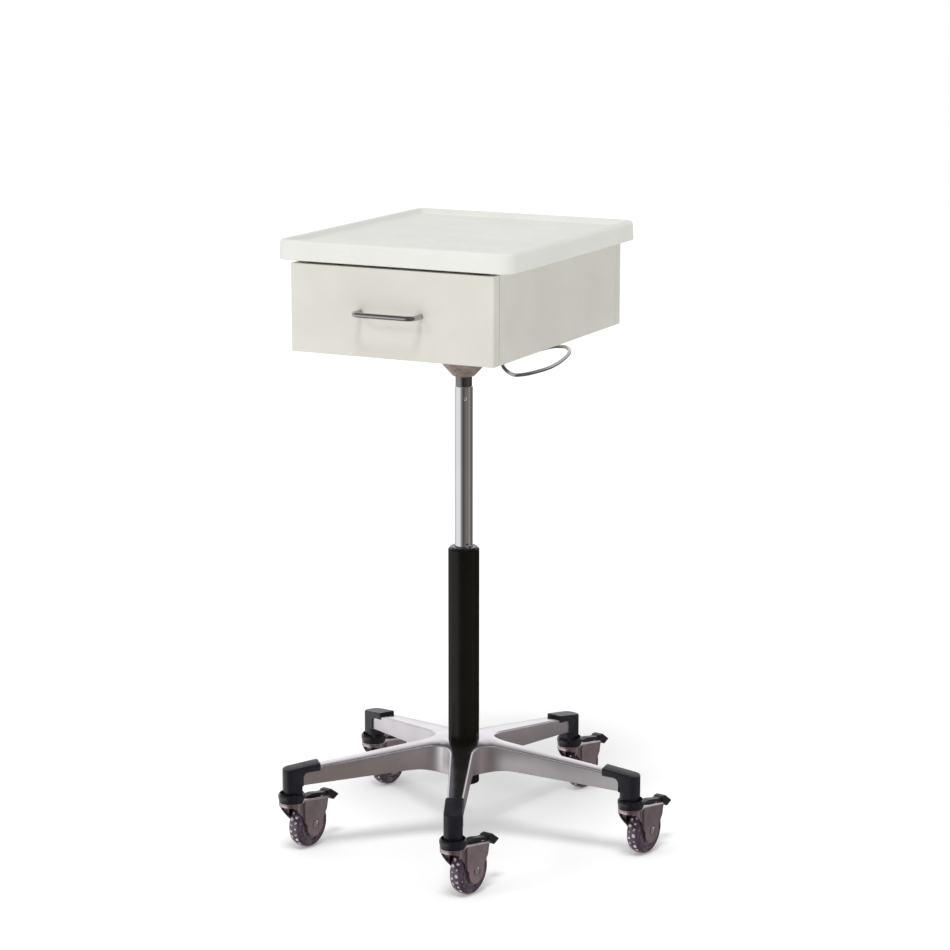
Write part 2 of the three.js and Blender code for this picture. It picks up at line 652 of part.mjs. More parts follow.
/** The channel rails on the cabinet's sides, and the runners on the tray that slide in them. */
function slides(frontEnd) {
  const { bottom, top, rear, sheet } = SLIDE;
  const wall = CABINET.halfWidth - CABINET.board - GAP;
  const trayWall = TRAY.halfWidth + GAP;
  const lip = 5;
  const length = (shape, sign) => {
    const solid = slabAlongY(shape, frontEnd, rear);
    return sign < 0 ? solid.mirror([1, 0, 0]) : solid;
  };
  const rail = outlineOf([
    [wall, bottom], [wall, top], [trayWall + lip, top], [trayWall + lip, top - sheet],
    [wall - sheet, top - sheet], [wall - sheet, bottom + sheet], [trayWall + lip, bottom + sheet],
    [trayWall + lip, bottom],
  ]);
  const runner = outlineOf([
    [trayWall, bottom + 7], [trayWall + 3, bottom + 7], [trayWall + 3, bottom + 3],
    [wall - sheet - 1.2, bottom + 3], [wall - sheet - 1.2, top - 3], [trayWall + 3, top - 3],
    [trayWall + 3, top - 7], [trayWall, top - 7],
  ]);
  return [[-1, 'left'], [1, 'right']].flatMap(([sign, hand]) => [
    piece(`slide_rail_${hand}`, length(rail, sign), FINISHES.zincSteel()),
    piece(`drawer_runner_${hand}`, length(runner, sign), FINISHES.zincSteel()),
  ]);
}

/** An (x, z) outline extruded along Y. */
function slabAlongY(shape, front, rear) {
  const geometry = new THREE.ExtrudeGeometry(shape, { depth: rear - front, bevelEnabled: false });
  return solidOf(geometry.rotateX(Math.PI / 2).translate(0, rear, 0));
}

// ---------------------------------------------------------------- the cart

const cart = new THREE.Group();
cart.position.set(COLUMN.x, COLUMN.y, 0);
cart.add(
  baseSpider(), columnSleeve(), guideBush(), thrustBearing(), pistonRod(), rodClip(),
  gasCylinder(), releaseButton(), socketCone(), mountPlate(), releaseBracket(),
  leverPivotPin(), releaseLever(), ...cabinet(), ...drawer(),
);
BASE.legAngles.forEach((_, index) => cart.add(...casterAndCap(index)));

export default cart;
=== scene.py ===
"""The looks of a height-adjustable medication cart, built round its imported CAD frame.

Sizes in the classes are in millimetres, with the column's axis as x = y = 0 and the floor as z = 0.
"""

import logging
import math
import random
from dataclasses import dataclass
from enum import Enum
from typing import Any, Sequence

import bmesh
import bpy
from mathutils import Matrix, Vector
from mathutils.geometry import delaunay_2d_cdt

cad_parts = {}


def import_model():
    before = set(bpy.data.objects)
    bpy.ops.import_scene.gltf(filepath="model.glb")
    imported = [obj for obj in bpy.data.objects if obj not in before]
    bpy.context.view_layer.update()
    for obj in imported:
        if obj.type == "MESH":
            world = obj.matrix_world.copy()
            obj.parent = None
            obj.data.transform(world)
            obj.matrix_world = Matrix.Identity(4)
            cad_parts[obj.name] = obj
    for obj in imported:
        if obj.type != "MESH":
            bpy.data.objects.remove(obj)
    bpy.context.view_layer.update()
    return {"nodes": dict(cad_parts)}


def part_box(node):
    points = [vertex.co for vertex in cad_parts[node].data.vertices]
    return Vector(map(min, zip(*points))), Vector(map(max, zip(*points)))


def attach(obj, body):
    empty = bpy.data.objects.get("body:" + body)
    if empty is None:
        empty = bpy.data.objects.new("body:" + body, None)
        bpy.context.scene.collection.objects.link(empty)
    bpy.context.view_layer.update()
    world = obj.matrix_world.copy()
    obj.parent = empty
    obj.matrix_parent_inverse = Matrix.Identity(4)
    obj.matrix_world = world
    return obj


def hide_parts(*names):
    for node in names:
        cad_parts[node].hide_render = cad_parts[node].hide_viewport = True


LOG = logging.getLogger("cart")
MM = 0.001

Piece = bpy.types.Object
Point = tuple[float, float]
Point3 = tuple[float, float, float]
Colour = tuple[float, float, float, float]
Tree = bpy.types.NodeTree
Node = bpy.types.Node
Socket = bpy.types.NodeSocket
Value = float | Socket


class Combine(Enum):
    """How one solid changes another."""

    CUT = "DIFFERENCE"
    COMMON = "INTERSECT"
    JOIN = "UNION"


class Hand(Enum):
    """Left or right side of the cart, as a sign along X."""

    LEFT = -1
    RIGHT = 1


class Run(Enum):
    """The axis that a side outline runs along; it is as wide as stated along the other one."""

    X = "x"
    Y = "y"


# ---------------------------------------------------------------- mesh making


def solid_from(name: str, points: Sequence[Point3], faces: Sequence[Sequence[int]]) -> Piece:
    """Makes a linked mesh object with outward normals.

    Args:
        name: the object's name.
        points: vertices in millimetres.
        faces: vertex indices of each face.

    Returns:
        The new object.
    """
    mesh = bpy.data.meshes.new(name)
    mesh.from_pydata([Vector(p) * MM for p in points], [], faces)
    work = bmesh.new()
    work.from_mesh(mesh)
    bmesh.ops.recalc_face_normals(work, faces=work.faces)
    work.to_mesh(mesh)
    work.free()
    piece = bpy.data.objects.new(name, mesh)
    bpy.context.scene.collection.objects.link(piece)
    return piece


def bake_modifiers(piece: Piece) -> None:
    """Makes a piece's modifiers part of its mesh.

    Args:
        piece: the object whose modifiers are applied.
    """
    bpy.context.view_layer.update()
    graph = bpy.context.evaluated_depsgraph_get()
    shaped = bpy.data.meshes.new_from_object(piece.evaluated_get(graph))
    piece.modifiers.clear()
    bare, name = piece.data, piece.data.name
    piece.data = shaped
    bpy.data.meshes.remove(bare)
    shaped.name = name


def combine(piece: Piece, other: Piece, how: Combine) -> None:
    """Changes a solid by another, which is used up.

    Args:
        piece: the solid that stays.
        other: the solid that is cut away, kept in common or joined.
        how: what is done.
    """
    step = piece.modifiers.new(how.name.lower(), "BOOLEAN")
    step.operation = how.value
    step.solver = "EXACT"
    step.object = other
    bake_modifiers(piece)
    mesh = other.data
    bpy.data.objects.remove(other)
    bpy.data.meshes.remove(mesh)


def tidy_mesh(piece: Piece, distance: float = 0.02) -> None:
    """Merges points that lie on each other.

    Args:
        piece: the object to tidy.
        distance: how far apart merged points may be, in millimetres.
    """
    work = bmesh.new()
    work.from_mesh(piece.data)
    bmesh.ops.remove_doubles(work, verts=work.verts, dist=distance * MM)
    bmesh.ops.dissolve_degenerate(work, edges=work.edges, dist=distance * MM)
    work.to_mesh(piece.data)
    work.free()


def soften(piece: Piece, width: float, segments: int = 3, angle: float = 32.0) -> None:
    """Rounds a solid's sharp edges.

    Args:
        piece: the solid.
        width: how far the round reaches from the edge, in millimetres.
        segments: facets across the round.
        angle: the least angle, in degrees, of an edge that is rounded.
    """
    tidy_mesh(piece)
    step = piece.modifiers.new("soften", "BEVEL")
    step.width = width * MM
    step.segments = segments
    step.limit_method = "ANGLE"
    step.angle_limit = math.radians(angle)
    step.use_clamp_overlap = False
    bake_modifiers(piece)


def shade(piece: Piece, angle: float = 38.0, weighted: bool = False) -> None:
    """Shades a piece smooth between its sharp edges.

    Args:
        piece: the object to shade.
        angle: the least angle, in degrees, that stays sharp.
        weighted: True to let large faces keep flat shading beside small rounds.
    """
    piece.data.polygons.foreach_set("use_smooth", [True] * len(piece.data.polygons))
    piece.data.set_sharp_from_angle(angle=math.radians(angle))
    if weighted:
        step = piece.modifiers.new("normals", "WEIGHTED_NORMAL")
        step.keep_sharp = True
        bake_modifiers(piece)


def gather(name: str, parts: Sequence[Piece]) -> Piece:
    """Joins several objects into one mesh.

    Args:
        name: the new object's name.
        parts: the objects, which are used up.

    Returns:
        The joined object.
    """
    work = bmesh.new()
    bpy.context.view_layer.update()
    for part in parts:
        mesh = part.data
        mesh.transform(part.matrix_world)
        work.from_mesh(mesh)
        bpy.data.objects.remove(part)
        bpy.data.meshes.remove(mesh)
    joined = bpy.data.meshes.new(name)
    work.to_mesh(joined)
    work.free()
    piece = bpy.data.objects.new(name, joined)
    bpy.context.scene.collection.objects.link(piece)
    return piece


def soft_outline(corners: Sequence[Point3], steps: int = 5) -> list[Point]:
    """Rounds the corners of a closed outline.

    Args:
        corners: (x, y, corner radius) in millimetres.
        steps: facets in a quarter circle.

    Returns:
        The outline's points.
    """
    points: list[Point] = []
    for index, (x, y, radius) in enumerate(corners):
        here = Vector((x, y))
        before = Vector(corners[index - 1][:2]) - here
        after = Vector(corners[(index + 1) % len(corners)][:2]) - here
        opening = before.angle(after)
        if radius <= 0 or opening > math.pi - 0.02:
            points.append((x, y))
            continue
        reach = min(radius / math.tan(opening / 2), 0.49 * before.length, 0.49 * after.length)
        radius = reach * math.tan(opening / 2)
        before.normalize()
        after.normalize()
        centre = here + (before + after).normalized() * radius / math.sin(opening / 2)
        start, end = here + before * reach - centre, here + after * reach - centre
        first = math.atan2(start.y, start.x)
        swept = math.remainder(math.atan2(end.y, end.x) - first, math.tau)
        facets = max(1, round(steps * abs(swept) / (math.pi / 2)))
        for k in range(facets + 1):
            turn = first + swept * k / facets
            points.append((centre.x + radius * math.cos(turn), centre.y + radius * math.sin(turn)))
    return points


def arc(centre: Point, radius: float, start: float, end: float, facets: int) -> list[Point]:
    """Points along an arc.

    Args:
        centre: the arc's centre.
        radius: its radius.
        start: its first angle in degrees.
        end: its last angle in degrees.
        facets: how many straight pieces stand for it.

    Returns:
        The arc's points.
    """
    turns = [math.radians(start + (end - start) * k / facets) for k in range(facets + 1)]
    return [(centre[0] + radius * math.cos(t), centre[1] + radius * math.sin(t)) for t in turns]


def rounded_rectangle(
    x0: float, x1: float, y0: float, y1: float, corner: float, steps: int = 6
) -> list[Point]:
    """A rectangle with round corners, always with the same number of points for the same steps.

    Args:
        x0: lowest x.
        x1: highest x.
        y0: lowest y.
        y1: highest y.
        corner: the corners' radius.
        steps: facets in each corner.

    Returns:
        The outline's points, anticlockwise.
    """
    centres = [(x1 - corner, y1 - corner), (x0 + corner, y1 - corner)]
    centres += [(x0 + corner, y0 + corner), (x1 - corner, y0 + corner)]
    points: list[Point] = []
    for quarter, centre in enumerate(centres):
        points += arc(centre, corner, 90 * quarter, 90 * quarter + 90, steps)
    return points


def lathe(name: str, profile: Sequence[Point], segments: int = 64, turn: float = 0.0) -> Piece:
    """A closed solid of revolution about Z.

    Args:
        name: the object's name.
        profile: closed outline of (radius, height).
        segments: facets round the axis.
        turn: the first facet's angle in degrees.

    Returns:
        The solid.
    """
    points: list[Point3] = []
    rings: list[list[int]] = []
    for radius, height in profile:
        first = len(points)
        if radius < 1e-6:
            points.append((0.0, 0.0, height))
            rings.append([first] * segments)
            continue
        for k in range(segments):
            angle = math.radians(turn) + math.tau * k / segments
            points.append((radius * math.cos(angle), radius * math.sin(angle), height))
        rings.append(list(range(first, first + segments)))
    faces = []
    for lower, upper in zip(rings, rings[1:] + rings[:1]):
        for k in range(segments):
            n = (k + 1) % segments
            corners = list(dict.fromkeys((lower[k], lower[n], upper[n], upper[k])))
            if len(corners) > 2:
                faces.append(corners)
    return solid_from(name, points, faces)


def stack(name: str, loops: Sequence[Sequence[Point3]]) -> Piece:
    """Skins a solid over loops of equal length, and closes its first and last loop.

    Args:
        name: the object's name.
        loops: rings of points, each joined to the next.

    Returns:
        The solid.
    """
    count = len(loops[0])
    points = [point for loop in loops for point in loop]
    faces: list[list[int]] = [list(range(count)), list(range(len(points) - count, len(points)))]
    for layer in range(len(loops) - 1):
        a, b = layer * count, (layer + 1) * count
        faces += [[a + k, a + (k + 1) % count, b + (k + 1) % count, b + k] for k in range(count)]
    return solid_from(name, points, faces)


def prism(name: str, outline: Sequence[Point], low: float, high: float) -> Piece:
    """An outline in plan, raised from one height to another.

    Args:
        name: the object's name.
        outline: its points.
        low: the lower height.
        high: the upper height.

    Returns:
        The solid.
    """
    return stack(name, [[(x, y, z) for x, y in outline] for z in (low, high)])


def slab(name: str, outline: Sequence[Point], half_width: float, run: Run) -> Piece:
    """A side outline of (run, height) made a slab, centred across its run.

    Args:
        name: the object's name.
        outline: its points.
        half_width: half the slab's width.
        run: the axis that the outline runs along.

    Returns:
        The solid.
    """
    sides = (-half_width, half_width)
    if run is Run.X:
        return stack(name, [[(u, side, z) for u, z in outline] for side in sides])
    return stack(name, [[(side, u, z) for u, z in outline] for side in sides])


def cushioned_block(
    name: str,
    low: Point3,
    high: Point3,
    corner: float,
    edge: float,
    corner_steps: int = 5,
) -> Piece:
    """A block with round upright corners and round top and bottom edges.

    Args:
        name: the object's name.
        low: lowest corner.
        high: highest corner.
        corner: radius of the upright corners.
        edge: radius of the top and bottom edges.
        corner_steps: facets in each upright corner.

    Returns:
        The solid.
    """
    quarter = arc((edge, edge), edge, 270, 180, 4)
    levels = [(inset, low[2] + rise) for inset, rise in quarter]
    levels += [(inset, high[2] - rise) for inset, rise in reversed(quarter)]
    loops = []
    for inset, z in levels:
        outline = rounded_rectangle(
            low[0] + inset, high[0] - inset, low[1] + inset, high[1] - inset,
            max(corner - inset, 0.15), corner_steps,
        )
        loops.append([(x, y, z) for x, y in outline])
    piece = stack(name, loops)
    tidy_mesh(piece, 0.005)
    return piece


def sweep(name: str, path: Sequence[Vector], radius: float, sides: int = 16) -> Piece:
    """A round wire along a path, with domed ends.

    Args:
        name: the object's name.
        path: its centre line.
        radius: the wire's radius.
        sides: facets round the wire.

    Returns:
        The solid.
    """
    ahead = [(b - a).normalized() for a, b in zip(path, path[1:])]
    tangents = [ahead[0]] + [(a + b).normalized() for a, b in zip(ahead, ahead[1:])] + [ahead[-1]]
    side = tangents[0].orthogonal().normalized()
    rings: list[tuple[Vector, float, Vector, Vector]] = []
    for point, tangent in zip(path, tangents):
        side = (side - tangent * side.dot(tangent)).normalized()
        rings.append((point, radius, side, tangent.cross(side)))
    dome = [(math.sin(t), math.cos(t)) for t in (0.5, 1.0, 1.35)]
    first, last = rings[0], rings[-1]
    front = [(first[0] - tangents[0] * radius * 0.5 * out, radius * size, *first[2:])
             for out, size in reversed(dome)]
    back = [(last[0] + tangents[-1] * radius * 0.5 * out, radius * size, *last[2:])
            for out, size in dome]
    loops = []
    for point, size, u, v in front + rings + back:
        turns = [math.tau * k / sides for k in range(sides)]
        loops.append([tuple(point + (u * math.cos(t) + v * math.sin(t)) * size) for t in turns])
    return stack(name, loops)


def smooth_path(knots: Sequence[Point3], per_span: int = 6) -> list[Vector]:
    """A centripetal Catmull-Rom curve through the knots.

    Args:
        knots: the points that it passes through.
        per_span: points from each knot to the next.

    Returns:
        The curve's points.
    """
    line = [Vector(k) for k in knots]
    line = [line[0] * 2 - line[1]] + line + [line[-1] * 2 - line[-2]]
    path: list[Vector] = []
    for p0, p1, p2, p3 in zip(line, line[1:], line[2:], line[3:]):
        t1 = max((p1 - p0).length, 1e-6) ** 0.5
        t2 = t1 + max((p2 - p1).length, 1e-6) ** 0.5
        t3 = t2 + max((p3 - p2).length, 1e-6) ** 0.5
        for k in range(per_span):
            t = t1 + (t2 - t1) * k / per_span
            a1 = p0 * ((t1 - t) / t1) + p1 * (t / t1)
            a2 = p1 * ((t2 - t) / (t2 - t1)) + p2 * ((t - t1) / (t2 - t1))
            a3 = p2 * ((t3 - t) / (t3 - t2)) + p3 * ((t - t2) / (t3 - t2))
            b1 = a1 * ((t2 - t) / t2) + a2 * (t / t2)
            b2 = a2 * ((t3 - t) / (t3 - t1)) + a3 * ((t - t1) / (t3 - t1))
            path.append(b1 * ((t2 - t) / (t2 - t1)) + b2 * ((t - t1) / (t2 - t1)))
    path.append(line[-2])
    return path


# ---------------------------------------------------------------- shader node groups

# A Mix node keeps its sockets for every data type, so they are told apart by number.
MIX_SHARE = 0
MIX_VALUES = (2, 3)
MIX_COLOURS = (6, 7)
MIX_COLOUR_RESULT = 2


def add_node(tree: Tree, kind: str, inputs: dict[str | int, Any], **settings: Any) -> Node:
    """Adds a node, sets it up and links it.

    Args:
        tree: the node tree.
        kind: the node's type.
        inputs: a value or an output socket for each input, by name or number.
        **settings: the node's own properties.

    Returns:
        The node.
    """
    node = tree.nodes.new(kind)
    for key, value in settings.items():
        setattr(node, key, value)
    for key, value in inputs.items():
        if isinstance(value, Socket):
            tree.links.new(value, node.inputs[key])
        else:
            node.inputs[key].default_value = value
    return node


def math_node(tree: Tree, operation: str, *values: Value) -> Socket:
    """The result socket of a Math node.

    Args:
        tree: the node tree.
        operation: the Math node's operation.
        *values: its inputs, numbers or sockets.

    Returns:
        The output socket.
    """
    node = add_node(tree, "ShaderNodeMath", dict(enumerate(values)), operation=operation)
    return node.outputs[0]


def spread(tree: Tree, value: Socket, low: Value, high: Value, a: float, b: float) -> Socket:
    """Maps a value from one range to another, and keeps it there.

    Args:
        tree: the node tree.
        value: the socket to map.
        low: what the result is at a.
        high: what the result is at b.
        a: start of the incoming range.
        b: end of the incoming range.

    Returns:
        The output socket.
    """
    inputs = {"Value": value, "From Min": a, "From Max": b, "To Min": low, "To Max": high}
    return add_node(tree, "ShaderNodeMapRange", inputs).outputs["Result"]


def mix_values(tree: Tree, share: Value, first: Value, second: Value) -> Socket:
    """Mixes two values.

    Args:
        tree: the node tree.
        share: how much of the second, a number or a socket.
        first: the first value.
        second: the second value.

    Returns:
        The output socket.
    """
    inputs = {MIX_SHARE: share, MIX_VALUES[0]: first, MIX_VALUES[1]: second}
    return add_node(tree, "ShaderNodeMix", inputs).outputs[0]


def mix_colours(tree: Tree, share: Value, first: Colour | Socket, second: Colour | Socket) -> Socket:
    """Mixes two colours.

    Args:
        tree: the node tree.
        share: how much of the second, a number or a socket.
        first: the first colour.
        second: the second colour.

    Returns:
        The output socket.
    """
    inputs = {MIX_SHARE: share, MIX_COLOURS[0]: first, MIX_COLOURS[1]: second}
    node = add_node(tree, "ShaderNodeMix", inputs, data_type="RGBA")
    return node.outputs[MIX_COLOUR_RESULT]


class Effects:
    """The node groups that several finishes share, each built once."""

    _made: dict[str, Tree] = {}

    @classmethod
    def _start(
        cls, name: str, inputs: dict[str, float | Colour], outputs: dict[str, str]
    ) -> tuple[Tree, Node, Node]:
        """Starts a group with named sockets.

        Args:
            name: the group's name.
            inputs: default value of each input; a tuple makes a colour.
            outputs: socket type of each output.

        Returns:
            The tree, its input node and its output node.
        """
        tree = bpy.data.node_groups.new(name, "ShaderNodeTree")
        for key, value in inputs.items():
            kind = "NodeSocketColor" if isinstance(value, tuple) else "NodeSocketFloat"
            made = tree.interface.new_socket(key, in_out="INPUT", socket_type=kind)
            made.default_value = value
        for key, kind in outputs.items():
            tree.interface.new_socket(key, in_out="OUTPUT", socket_type=kind)
        cls._made[name] = tree
        return tree, tree.nodes.new("NodeGroupInput"), tree.nodes.new("NodeGroupOutput")

    @classmethod
    def tone(cls) -> Tree:
        """Soft uneven colour: clouds and fine specks round a base colour.

        Returns:
            The node group.
        """
        if "uneven_tone" in cls._made:
            return cls._made["uneven_tone"]
        inputs = {"Light": (1, 1, 1, 1), "Dark": (0, 0, 0, 1), "Cloud Scale": 9.0, "Speck Scale": 900.0,
                  "Speck Share": 0.3}
        tree, given, result = cls._start("uneven_tone", inputs, {"Color": "NodeSocketColor"})
        place = add_node(tree, "ShaderNodeTexCoord", {}).outputs["Object"]
        cloud = add_node(tree, "ShaderNodeTexNoise", {
            "Vector": place, "Scale": given.outputs["Cloud Scale"], "Detail": 4.0}).outputs["Fac"]
        speck = add_node(tree, "ShaderNodeTexNoise", {
            "Vector": place, "Scale": given.outputs["Speck Scale"], "Detail": 1.0}).outputs["Fac"]
        both = mix_values(tree, given.outputs["Speck Share"], cloud, speck)
        share = spread(tree, both, 0.0, 1.0, 0.36, 0.64)
        mixed = mix_colours(tree, share, given.outputs["Dark"], given.outputs["Light"])
        tree.links.new(mixed, result.inputs["Color"])
        return tree

    @classmethod
    def grain(cls) -> Tree:
        """Surface grain: rounded pebbles mixed with fine noise, as a height.

        Returns:
            The node group.
        """
        if "surface_grain" in cls._made:
            return cls._made["surface_grain"]
        inputs = {"Scale": 700.0, "Pebble Share": 0.5}
        tree, given, result = cls._start("surface_grain", inputs, {"Height": "NodeSocketFloat"})
        place = add_node(tree, "ShaderNodeTexCoord", {}).outputs["Object"]
        pebble = add_node(tree, "ShaderNodeTexVoronoi", {
            "Vector": place, "Scale": given.outputs["Scale"]}, feature="SMOOTH_F1").outputs["Distance"]
        fine = add_node(tree, "ShaderNodeTexNoise", {
            "Vector": place, "Scale": given.outputs["Scale"], "Detail": 2.0}).outputs["Fac"]
        mixed = mix_values(tree, given.outputs["Pebble Share"], fine, pebble)
        tree.links.new(mixed, result.inputs["Height"])
        return tree

    @classmethod
    def handling(cls) -> Tree:
        """Smudges and wiping marks, as a roughness between two values.

        Returns:
            The node group.
        """
        if "handling_marks" in cls._made:
            return cls._made["handling_marks"]
        inputs = {"Polished": 0.3, "Dulled": 0.5, "Scale": 30.0}
        tree, given, result = cls._start("handling_marks", inputs, {"Roughness": "NodeSocketFloat"})
        place = add_node(tree, "ShaderNodeTexCoord", {}).outputs["Object"]
        smear = add_node(tree, "ShaderNodeTexNoise", {
            "Vector": place, "Scale": given.outputs["Scale"], "Detail": 5.0,
            "Roughness": 0.65, "Distortion": 0.6}).outputs["Fac"]
        mapped = spread(tree, smear, given.outputs["Polished"], given.outputs["Dulled"], 0.35, 0.7)
        tree.links.new(mapped, result.inputs["Roughness"])
        return tree

    @classmethod
    def wear(cls) -> Tree:
        """Where edges are rubbed: convex places, broken up by noise.

        Returns:
            The node group.
        """
        if "edge_wear" in cls._made:
            return cls._made["edge_wear"]
        inputs = {"Amount": 0.5, "Start": 0.53, "Scale": 160.0}
        tree, given, result = cls._start("edge_wear", inputs, {"Mask": "NodeSocketFloat"})
        bend = add_node(tree, "ShaderNodeNewGeometry", {}).outputs["Pointiness"]
        place = add_node(tree, "ShaderNodeTexCoord", {}).outputs["Object"]
        patch = add_node(tree, "ShaderNodeTexNoise", {
            "Vector": place, "Scale": given.outputs["Scale"], "Detail": 3.0}).outputs["Fac"]
        rubbed = math_node(tree, "SUBTRACT", bend, given.outputs["Start"])
        rubbed = math_node(tree, "MULTIPLY", rubbed, 14.0)
        broken = spread(tree, patch, 0.2, 1.0, 0.4, 0.6)
        mask = math_node(tree, "MULTIPLY", math_node(tree, "MULTIPLY", rubbed, broken),
                         given.outputs["Amount"])
        held = add_node(tree, "ShaderNodeClamp", {"Value": mask}).outputs["Result"]
        tree.links.new(held, result.inputs["Mask"])
        return tree

    @classmethod
    def dust(cls) -> Tree:
        """Where dust settles: faces that look up, in soft patches.

        Returns:
            The node group.
        """
        if "settled_dust" in cls._made:
            return cls._made["settled_dust"]
        inputs = {"Amount": 0.2, "Scale": 60.0}
        tree, given, result = cls._start("settled_dust", inputs, {"Mask": "NodeSocketFloat"})
        normal = add_node(tree, "ShaderNodeNewGeometry", {}).outputs["Normal"]
        up = add_node(tree, "ShaderNodeSeparateXYZ", {0: normal}).outputs["Z"]
        place = add_node(tree, "ShaderNodeTexCoord", {}).outputs["Object"]
        patch = add_node(tree, "ShaderNodeTexNoise", {
            "Vector": place, "Scale": given.outputs["Scale"], "Detail": 6.0}).outputs["Fac"]
        level = spread(tree, up, 0.0, 1.0, 0.5, 1.0)
        share = spread(tree, patch, 0.2, 1.0, 0.35, 0.7)
        mask = math_node(tree, "MULTIPLY", math_node(tree, "MULTIPLY", level, share),
                         given.outputs["Amount"])
        tree.links.new(mask, result.inputs["Mask"])
        return tree


# ---------------------------------------------------------------- finishes


def tint(red: float, green: float, blue: float) -> Colour:
    """A linear colour from display values of 0 to 255.

    Args:
        red: red.
        green: green.
        blue: blue.

    Returns:
        The linear colour, opaque.
    """
    def linear(value: float) -> float:
        """One channel from display to linear."""
        share = value / 255
        return share / 12.92 if share <= 0.04045 else ((share + 0.055) / 1.055) ** 2.4

    return (linear(red), linear(green), linear(blue), 1.0)


@dataclass(frozen=True)
class Finish:
    """One finish, as a Principled material with uneven tone, grain, handling marks, wear and dust."""

    name: str
    slot: str
    light: Colour
    dark: Colour
    polished: float
    dulled: float
    metallic: float = 0.0
    cloud_scale: float = 9.0
    speck_scale: float = 900.0
    speck_share: float = 0.3
    smudge_scale: float = 30.0
    grain_scale: float = 700.0
    grain_depth: float = 0.02
    pebble_share: float = 0.3
    worn: Colour = (0.6, 0.6, 0.6, 1.0)
    wear_amount: float = 0.0
    dust_amount: float = 0.0
    coat: float = 0.0
    coat_roughness: float = 0.08
    specular: float = 0.5
    flank_dulling: float = 0.0
    grazing_dim: float = 0.0

    def material(self) -> bpy.types.Material:
        """Builds the material once, and returns it each time it is asked for.

        Returns:
            The material.
        """
        made = bpy.data.materials.get(self.name)
        if made:
            return made
        made = bpy.data.materials.new(self.name)
        made.use_nodes = True
        tree = made.node_tree
        shader = tree.nodes["Principled BSDF"]
        shader.inputs["Metallic"].default_value = self.metallic
        shader.inputs["Coat Weight"].default_value = self.coat
        shader.inputs["Coat Roughness"].default_value = self.coat_roughness
        shader.inputs["Specular IOR Level"].default_value = self.specular
        colour = self._effect(tree, Effects.tone(), {
            "Light": self.light, "Dark": self.dark, "Cloud Scale": self.cloud_scale,
            "Speck Scale": self.speck_scale, "Speck Share": self.speck_share})
        if self.wear_amount:
            mask = self._effect(tree, Effects.wear(), {"Amount": self.wear_amount})
            colour = mix_colours(tree, mask, colour, self.worn)
        if self.dust_amount:
            mask = self._effect(tree, Effects.dust(), {"Amount": self.dust_amount})
            colour = mix_colours(tree, mask, colour, tint(196, 192, 184))
        tree.links.new(colour, shader.inputs["Base Color"])
        rough = self._effect(tree, Effects.handling(), {
            "Polished": self.polished, "Dulled": self.dulled, "Scale": self.smudge_scale})
        if self.flank_dulling:
            facing = add_node(tree, "ShaderNodeTexCoord", {}).outputs["Normal"]
            upward = add_node(tree, "ShaderNodeSeparateXYZ", {0: facing}).outputs["Z"]
            extra = spread(tree, upward, self.flank_dulling, 0.0, 0.5, 0.95)
            rough = math_node(tree, "ADD", rough, extra)
        tree.links.new(rough, shader.inputs["Roughness"])
        if self.grazing_dim:
            facing = add_node(tree, "ShaderNodeLayerWeight", {"Blend": 0.5}).outputs["Facing"]
            dimmed = self.specular * (1 - self.grazing_dim)
            level = spread(tree, facing, self.specular, dimmed, 0.2, 0.7)
            tree.links.new(level, shader.inputs["Specular IOR Level"])
        height = self._effect(tree, Effects.grain(), {
            "Scale": self.grain_scale, "Pebble Share": self.pebble_share})
        bump = add_node(tree, "ShaderNodeBump", {
            "Strength": 1.0, "Distance": self.grain_depth * MM, "Height": height})
        tree.links.new(bump.outputs["Normal"], shader.inputs["Normal"])
        return made

    @staticmethod
    def _effect(tree: Tree, group: Tree, values: dict[str, float | Colour]) -> Socket:
        """Places a shared effect in a material.

        Args:
            tree: the material's node tree.
            group: the effect.
            values: its values in this material.

        Returns:
            The effect's output socket.
        """
        node = tree.nodes.new("ShaderNodeGroup")
        node.node_tree = group
        for key, value in values.items():
            node.inputs[key].default_value = value
        return node.outputs[0]


LAMINATE = Finish(
    "warm_white_laminate", "laminate", tint(226, 224, 215), tint(219, 217, 207), 0.36, 0.5,
    grain_scale=1400.0, grain_depth=0.01, pebble_share=0.6, speck_share=0.15, dust_amount=0.06,
    worn=tint(240, 238, 232), wear_amount=0.3,
)
MOULDED_TOP = Finish(
    "pebbled_white_worktop", "worktop", tint(240, 240, 235), tint(231, 231, 225), 0.4, 0.55,
    grain_scale=620.0, grain_depth=0.09, pebble_share=0.8, speck_share=0.5, dust_amount=0.08,
)
CAST_ALUMINIUM = Finish(
    "polished_cast_aluminium", "cast_aluminium", tint(242, 238, 240), tint(232, 227, 230), 0.13, 0.22,
    metallic=1.0, cloud_scale=14.0, speck_scale=500.0, speck_share=0.15, smudge_scale=16.0,
    grain_scale=120.0, grain_depth=0.012, pebble_share=0.1, worn=tint(236, 236, 240), wear_amount=0.5,
    flank_dulling=0.25,
)
CHROME = Finish(
    "bright_chrome", "chrome", tint(228, 228, 231), tint(220, 220, 224), 0.035, 0.07,
    metallic=1.0, cloud_scale=10.0, speck_share=0.1, smudge_scale=30.0, grain_scale=90.0,
    grain_depth=0.002, pebble_share=0.0,
)
DARK_CHROME = Finish(
    "dark_chrome", "dark_chrome", tint(154, 146, 138), tint(132, 124, 116), 0.04, 0.09,
    metallic=1.0, cloud_scale=30.0, speck_share=0.1, smudge_scale=60.0, grain_scale=120.0,
    grain_depth=0.003, pebble_share=0.0,
)
# Painted shade: dark chrome on a thin sleeve over the cylinder's neck, so the neck reads as dark as it
# does in the shade under the bell socket.
NECK_SHADE_DARK_CHROME = Finish(
    "dark_chrome_painted_neck_shade", "dark_chrome", tint(142, 134, 136), tint(118, 110, 112), 0.035, 0.07,
    metallic=1.0, cloud_scale=20.0, speck_share=0.1, smudge_scale=30.0, grain_scale=90.0,
    grain_depth=0.002, pebble_share=0.0,
)
